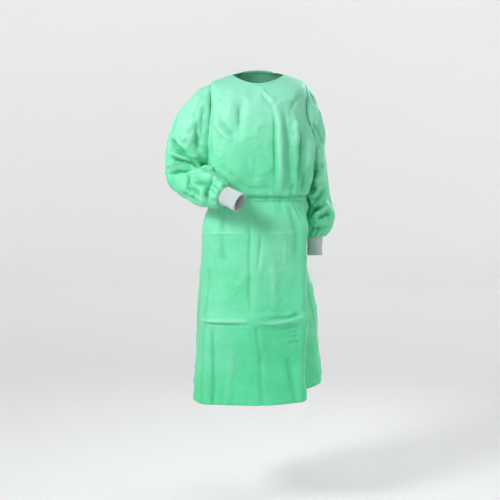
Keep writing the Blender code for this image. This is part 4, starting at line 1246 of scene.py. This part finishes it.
def sleeve_rings(table, wide, creases, side, seed):
    """Dense rings of points and normals of a creased sleeve, and the marks of its creases: painted
    shade and highlights.
    """
    coarse = sleeve_places()
    centre, half, front, half_depth = sleeve_frame(table, side)
    at = np.linspace(0, len(coarse) - 1, (len(coarse) - 1) * RING_FACTOR + 1)
    places = np.interp(at, np.arange(len(coarse)), coarse)
    centre, half, front, half_depth = (smooth(v, at) for v in (centre, half, front, half_depth))
    front = unit(front)
    columns = SLEEVE_SEGMENTS * RING_FACTOR
    angle = ring_angles(columns)
    rim = armhole_rim(side, angle)
    _, spokes, outward = wrist_spokes(CUFF_AIMS[side], half[-1], side, angle)
    arms = (
        half[:, None, :] * np.cos(angle)[None, :, None]
        + (front * half_depth[:, None])[:, None, :] * np.sin(angle)[None, :, None]
    )
    from_rim = (1 - smoothstep(places / RIM_ROWS))[:, None, None]
    to_wrist = smoothstep((places - places[-1] + WRIST_ROWS) / WRIST_ROWS)[:, None, None]
    taper = smoothstep((places - places[-1] + SLEEVE_TAPER_ROWS) / SLEEVE_TAPER_ROWS)
    arms = arms + from_rim * (rim - centre[0] - arms[0])[None]
    arms *= 1 - SLEEVE_TAPER * taper[:, None, None]
    arms = (1 - to_wrist) * arms + to_wrist * (spokes * CUFF_PROFILE[0][1])[None]
    length = np.linalg.norm(arms, axis=-1, keepdims=True)
    arms *= 1 + wide_offset(wide, places[:, None], angle[None, :])[..., None] / length
    plain = centre[:, None, :] + arms
    clearance = np.interp(
        smoothstep(places / CLEARANCE_ROWS), (0, 1), (ARMHOLE_CLEARANCE, SLEEVE_CLEARANCE)
    )
    plain[1:-1] = clear_of_body(plain[1:-1], clearance[1:-1, None])

    def surface(place, degrees):
        """The plain sleeve's point at a row of the table and an angle in degrees."""
        row = np.interp(place, places, np.arange(len(places)))
        column = np.asarray(degrees) / 360 * columns
        r, c = np.floor(row).astype(int), np.floor(column).astype(int)
        s, t = (row - r)[:, None], (column - c)[:, None]
        r2 = np.minimum(r + 1, len(places) - 1)
        low = plain[r, c % columns] * (1 - t) + plain[r, (c + 1) % columns] * t
        high = plain[r2, c % columns] * (1 - t) + plain[r2, (c + 1) % columns] * t
        return low * (1 - s) + high * s

    normals = ring_normals(plain, side)
    offset, crease_marks_and_painted_light = crease_offsets(plain, creases, surface, SLEEVE_CREASE_SCALE)
    fade = smoothstep(places / CREASE_START_ROWS)
    fade = fade * smoothstep((LAST_PLACE - places) / CREASE_END_ROWS)
    offset = offset + crinkle(plain, SLEEVE_CRINKLES, seed)
    offset = offset + sleeve_pleats(places[:, None], angle[None, :], seed)
    offset = offset * fade[:, None] + seam_puckers(plain)
    rings = plain + offset[..., None] * normals
    rings[1:-1] = clear_of_body(rings[1:-1], CREASED_CLEARANCE * clearance[1:-1, None])
    normals = ring_normals(rings, side)
    normals[-1] = outward
    return rings, normals, crease_marks_and_painted_light


def ring_normals(rings, side):
    """Outward unit normals of a tube of rings."""
    along = np.gradient(rings, axis=0)
    around = np.roll(rings, -1, axis=1) - np.roll(rings, 1, axis=1)
    return unit(side * np.cross(around, along))


def sleeve(name, node, table, wide, creases, side, seed, finish):
    """A sleeve's shell, from its armhole to its cuff."""
    rings, normals, crease_marks_and_painted_light = facing(side, *sleeve_rings(table, wide, creases, side, seed))
    obj = shell(name, rings, normals, SHELL_WALL, finish, around=True, crease_marks_and_painted_light=crease_marks_and_painted_light)
    dress(obj, "green_nonwoven", node)


def cuff(name, node, table, side, finish):
    """A rib knit cuff with a rounded free edge."""
    centre, half, _, _ = sleeve_frame(table, side)
    angle = ring_angles(CUFF_RIBS * CUFF_RIB_COLUMNS)
    axis, spokes, outward = wrist_spokes(CUFF_AIMS[side], half[-1], side, angle)
    length = CUFF_PROFILE[-1][0]
    along = np.linspace(0, 1, CUFF_ROWS)
    radius = smooth([row[1] for row in CUFF_PROFILE], along * 2)
    rib = CUFF_RIB_RISE * (1 - 2 * np.abs(np.sin(CUFF_RIBS * angle / 2)) ** 1.5)
    start = centre[-1] + axis * SEAM_GAP
    sway = CUFF_SWAY * np.sin(3 * angle[None, :] + 2.0 + 4 * along[:, None])
    sway = sway * np.sin(math.pi * along)[:, None]
    ease = smoothstep(np.minimum(along, 1 - along) / CUFF_EDGE)[:, None]
    out = radius[:, None] + rib[None, :] * (0.35 + 0.65 * ease) + sway - CUFF_EDGE_DROP * (1 - ease)
    rings = start + axis * (along * length)[:, None, None] + spokes[None] * out[..., None]
    rings, normals = facing(side, rings, np.repeat(outward[None], CUFF_ROWS, axis=0))
    obj = shell(name, rings, normals, KNIT_WALL, finish, around=True)
    dress(obj, "white_knit", node)


def waist_tie(finish):
    """The tie round the waist, drawn tight so that it creases lengthwise."""
    columns = BODY_SEGMENTS * 12
    turns = np.arange(columns)[None, :] / columns
    share = np.linspace(0, 1, 9)[:, None]
    levels = LEVELS["tie_low"] + share * (LEVELS["tie_high"] - LEVELS["tie_low"])
    points, normals, _ = dressed(turns, levels)
    middle = points.mean(axis=0, keepdims=True)
    height = points[..., 2:] - middle[..., 2:]
    level_points = np.concatenate([
        0.5 * points[..., :2] + 0.5 * middle[..., :2], middle[..., 2:] + TIE_SQUEEZE * height
    ], axis=-1)
    wander = 0.15 * np.sin(2 * math.pi * 7 * turns)
    roll = TIE_ROLL * np.cos(2 * math.pi * (2 * share + wander))
    edge = -TIE_ROLL * (np.abs(2 * share - 1) ** 4)
    lift = SEAM_GAP + TIE_WALL + TIE_LIFT + roll + edge
    rows = level_points + lift[..., None] * normals
    obj = shell("gown_tie", rows, normals, TIE_WALL, finish, around=True)
    dress(obj, "green_nonwoven", "waist_tie")


def knot(finish):
    """The tie's knot behind: one rounded strand passed over and under itself."""
    back, _, _ = dressed(np.array([0.5]), np.array([float(LEVELS["waist"])]))
    away = 2 * SEAM_GAP + TIE_WALL + KNOT_LIFT + KNOT_HALF_SIZE[1] * 0.8
    centre = back[0] + np.array([0.0, away, 0.0])
    reach_x, reach_y, reach_z = np.array(KNOT_HALF_SIZE) - KNOT_INSET
    t = np.linspace(0, 2 * math.pi, KNOT_RINGS + 1)[:-1]
    path = np.stack([
        (np.sin(t) + 2 * np.sin(2 * t)) / 3 * reach_x,
        -np.sin(3 * t) * reach_y,
        (np.cos(t) - 2 * np.cos(2 * t)) / 3 * reach_z,
    ], axis=-1)
    heading = unit(np.roll(path, -1, axis=0) - np.roll(path, 1, axis=0))
    side = unit(np.cross(heading, np.array([0.0, 1.0, 0.0])))
    up = np.cross(side, heading)
    ring = ring_angles(KNOT_SEGMENTS)
    crumple = 1 + KNOT_CRUMPLE * np.cos(5 * ring[None, :] + 3 * t[:, None])
    wide, high = KNOT_STRAND
    tube = (
        path[:, None, :]
        + side[:, None, :] * (wide * crumple * np.cos(ring)[None, :])[..., None]
        + up[:, None, :] * (high * crumple * np.sin(ring)[None, :])[..., None]
    ) + centre
    faces = []
    for i, j in itertools.product(range(KNOT_RINGS), range(KNOT_SEGMENTS)):
        near, far = i * KNOT_SEGMENTS, (i + 1) % KNOT_RINGS * KNOT_SEGMENTS
        j2 = (j + 1) % KNOT_SEGMENTS
        faces.append((near + j, near + j2, far + j2, far + j))
    obj = new_object("gown_knot", tube.reshape(-1, 3).tolist(), faces, finish)
    obj.data.uv_layers.new(name="cloth")
    dress(obj, "green_nonwoven", "waist_knot")


def tie_end(label, turn, lean, lowest, finish):
    """A free end of the tie with a lengthwise crease, hanging from the knot."""
    dense = np.linspace(0, LEVELS["waist"], CLEAR_LEVELS)
    dense_z = body(0.5, dense)[:, 2]
    top = dense_z[-1] - TIE_END_DROP
    heights = np.linspace(lowest, top, TIE_END_ROWS)
    levels = np.interp(heights, dense_z, dense)
    fall = top - heights
    sway = TIE_END_SWAY * np.sin(fall * TIE_END_SWAY_RATE)
    sway = sway * np.minimum(fall / TIE_END_SWAY_START, 1)
    middle = turn + lean * fall + sway
    step = 1e-3
    girth = np.linalg.norm(body(middle + step, levels) - body(middle - step, levels), axis=-1)
    half_turns = TIE_END_WIDTH / 2 * 2 * step / girth
    share = np.linspace(-1, 1, 9)
    turns = middle[:, None] + share[None, :] * half_turns[:, None]
    near_knot = smoothstep(1 - fall / TIE_END_KNOT_REACH)
    pinch = 1 - TIE_END_PINCH * near_knot
    turns = middle[:, None] + (turns - middle[:, None]) * pinch[:, None]
    plain, normals = body(turns, levels[:, None]), body_normals(turns, levels[:, None])
    twist = TIE_END_TWIST * np.sin(fall * TIE_END_TWIST_RATE + turn * 40)[:, None] * share[None, :]
    twist = twist * (1 - near_knot)[:, None]
    fold = TIE_END_FOLD * np.cos(2.2 * share)[None, :]
    lift = TIE_END_LIFT + (TIE_END_KNOT_LIFT - TIE_END_LIFT) * near_knot + TIE_WALL
    points = plain + (lift[:, None] + twist + fold + TIE_END_OUT)[..., None] * normals
    obj = shell(f"gown_tie_end_{label}", points, normals, TIE_WALL * 0.7, finish)
    dress(obj, "green_nonwoven", f"tie_end_{label}")


def neck_binding(finish):
    """The folded tape round the neck edge, rounded on top."""
    columns = (BODY_SEGMENTS + 2 * OVERLAP_COLUMNS) * 8 + 1
    turns = np.linspace(-0.5 - OVERLAP_TURNS, 0.5 + OVERLAP_TURNS, columns)
    levels = np.full_like(turns, float(TOP_LEVEL))
    edge, normals = body(turns, levels), body_normals(turns, levels)
    upward = unit(edge - body(turns, levels - 0.02))
    foot = inner_layer(edge, normals, turns)
    pull = BINDING_PULL * np.cos(np.arange(columns) * 0.9)
    rows = []
    for s in np.linspace(0, 1, BINDING_ROWS):
        head, heel = max(0.0, (s - 0.6) / 0.4), max(0.0, (0.2 - s) / 0.2)
        round_in = BINDING_HEAD_ROUND * head**2 + BINDING_FOOT_ROUND * heel**2
        out = (BINDING_WALL - 0.0015) / 2 + pull * math.sin(math.pi * s) - round_in
        rows.append(foot + upward * (SEAM_GAP + BINDING_RISE * s) + normals * out[:, None])
    normals = np.repeat(normals[None], BINDING_ROWS, axis=0)
    obj = shell("gown_neck_binding", np.array(rows), normals, BINDING_WALL * 0.8, finish)
    dress(obj, "green_nonwoven", "neck_binding")


def neck_tab(finish):
    """The closing tab over the outer panel's edge, with rounded corners."""
    columns, rows = TAB_GRID
    turns = np.linspace(*TAB_TURNS, columns)[None, :]
    levels = np.linspace(*TAB_LEVELS, rows)[:, None]
    points, normals, _ = dressed(turns, levels)
    u, v = np.linspace(-1, 1, columns)[None, :], np.linspace(-1, 1, rows)[:, None]
    rim = np.clip((np.maximum(np.abs(u) ** 8, np.abs(v) ** 6) - 0.4) / 0.6, 0, 1)
    lift = 2 * SEAM_GAP + TAB_WALL + TAB_ROUND - TAB_ROUND * rim
    points = points + lift[..., None] * normals
    obj = shell("gown_neck_tab", points, normals, TAB_WALL, finish)
    dress(obj, "green_nonwoven", "neck_tab")


def seam_rows(finish):
    """Stitching at the hem, the outer back edge and the neck."""
    hem_level = HEM_DEPTH / HEM_SPAN
    edge = 0.5 + OVERLAP_TURNS
    rows = {
        "hem_front": (np.linspace(-0.246, 0.246, 420), hem_level, STITCH_ABOVE),
        "hem_back_right": (np.linspace(-0.254, -edge + 0.012, 300), hem_level, STITCH_ABOVE),
        "hem_back_left": (
            np.linspace(0.254, 0.5 - OVERLAP_TURNS - STEP_TURNS, 200), hem_level, STITCH_ABOVE,
        ),
        "back_edge": (
            -edge + HEM_DEPTH / GIRTH, np.linspace(0.06, TOP_LEVEL - 0.08, 700),
            EDGE_STITCH_ABOVE,
        ),
        "neck": (np.linspace(-0.49, 0.36, 420), TOP_LEVEL - 0.06, STITCH_ABOVE),
    }
    for name, (turns, levels, above) in rows.items():
        points, normals, _ = dressed(turns, levels)
        stitches(f"stitch_{name}", points + above * normals, normals, finish)


# Studio


def aimed(name, data, place, aim):
    """A camera or light in the scene, turned towards a point."""
    obj = bpy.data.objects.new(name, data)
    bpy.context.scene.collection.objects.link(obj)
    obj.location = place
    obj.rotation_euler = (Vector(aim) - Vector(place)).to_track_quat("-Z", "Y").to_euler()
    return obj


def camera():
    """The camera at the photograph's place."""
    data = bpy.data.cameras.new("camera")
    data.lens, data.sensor_width = CAMERA_LENS, CAMERA_SENSOR
    data.clip_end = CAMERA_CLIP_END
    bpy.context.scene.camera = aimed("camera", data, CAMERA_PLACE, CAMERA_AIM)


def stage():
    """A pale round floor that rises into a wall all round."""
    points, faces = [], []
    for s in np.linspace(0, 1, STAGE_RINGS):
        bend = max(0.0, (s - FLOOR_SHARE) / (1 - FLOOR_SHARE)) * math.pi / 2
        reach = FLOOR_RADIUS * min(s / FLOOR_SHARE, 1)
        reach = max(reach + (WALL_RADIUS - FLOOR_RADIUS) * math.sin(bend), STAGE_CENTRE)
        z = FLOOR_Z + WALL_HEIGHT * (1 - math.cos(bend))
        for k in range(STAGE_SEGMENTS):
            a = 2 * math.pi * k / STAGE_SEGMENTS
            points.append((reach * math.cos(a), reach * math.sin(a), z))
    for i, k in itertools.product(range(STAGE_RINGS - 1), range(STAGE_SEGMENTS)):
        near, far = i * STAGE_SEGMENTS, (i + 1) * STAGE_SEGMENTS
        j = (k + 1) % STAGE_SEGMENTS
        faces.append((near + k, far + k, far + j, near + j))
    faces.append(tuple(range(STAGE_SEGMENTS)))
    made, tree, shader, place = new_material("studio_floor")
    mottle = noise_texture(tree, place, 1.5, 3.0)
    coloured(tree, shader, STAGE_COLOUR, ((mottle, 0.3, 0.7, 0.0, 0.06, STAGE_MOTTLE),))
    shader.inputs["Roughness"].default_value = 0.85
    new_object("studio_floor", points, faces, made)


def light(name, place, aim, size, power, colour=LIGHT_WHITE, spread=180):
    """A large soft light, with its spread in degrees."""
    data = bpy.data.lights.new(name, "AREA")
    data.shape = "DISK"
    data.size, data.energy, data.color = size, power, colour
    data.spread = math.radians(spread)
    aimed(name, data, place, aim)


def lights():
    """A key from the upper left in front, one behind, a weak fill and top, lit walls and sky."""
    middle = (0.0, 0.0, -0.5)
    light("key", (-2.1, -1.95, 1.5), (-0.08, 0.0, -0.14), 1.1, 17, LIGHT_COOL, 80)
    light("fill", (3.0, -3.4, 0.6), middle, 3.0, 8)
    light("top", (0.3, 0.6, 3.2), middle, 2.4, 9)
    light("back", (2.0, 2.4, 1.5), (0.05, 0.0, -0.2), 1.3, 15, LIGHT_COOL, 80)
    for quarter in range(4):
        x, y = math.sin(quarter * math.pi / 2), math.cos(quarter * math.pi / 2)
        light(f"wall_{quarter}", (3.5 * x, 3.5 * y, 5.0), (9.0 * x, 9.0 * y, 1.0), 4.0, 250)
    world = bpy.data.worlds.new("sky")
    world.use_nodes = True
    background = world.node_tree.nodes["Background"].inputs
    background["Color"].default_value = SKY
    background["Strength"].default_value = 0.12
    bpy.context.scene.world = world
    bpy.context.scene.view_settings.view_transform = "Standard"


def main():
    """Makes the studio and every piece of the dressed gown."""
    camera()
    stage()
    lights()
    green, white, sewing = nonwoven(), knit(), thread()
    front_panel(green)
    back_panel("gown_back_left", "back_panel_left", 1, True, green)
    back_panel("gown_back_right", "back_panel_right", -1, False, green)
    sleeve(
        "gown_sleeve_right", "sleeve_right", RIGHT_SLEEVE, RIGHT_WIDE_CREASES, RIGHT_CREASES, -1, 11,
        green,
    )
    sleeve(
        "gown_sleeve_left", "sleeve_left", LEFT_SLEEVE, LEFT_WIDE_CREASES, LEFT_CREASES, 1, 23,
        green,
    )
    cuff("gown_cuff_right", "cuff_right", RIGHT_SLEEVE, -1, white)
    cuff("gown_cuff_left", "cuff_left", LEFT_SLEEVE, 1, white)
    neck_binding(green)
    neck_tab(green)
    waist_tie(green)
    knot(green)
    for label, (turn, lean, lowest) in TIE_ENDS.items():
        tie_end(label, turn, lean, lowest, green)
    seam_rows(sewing)


main()
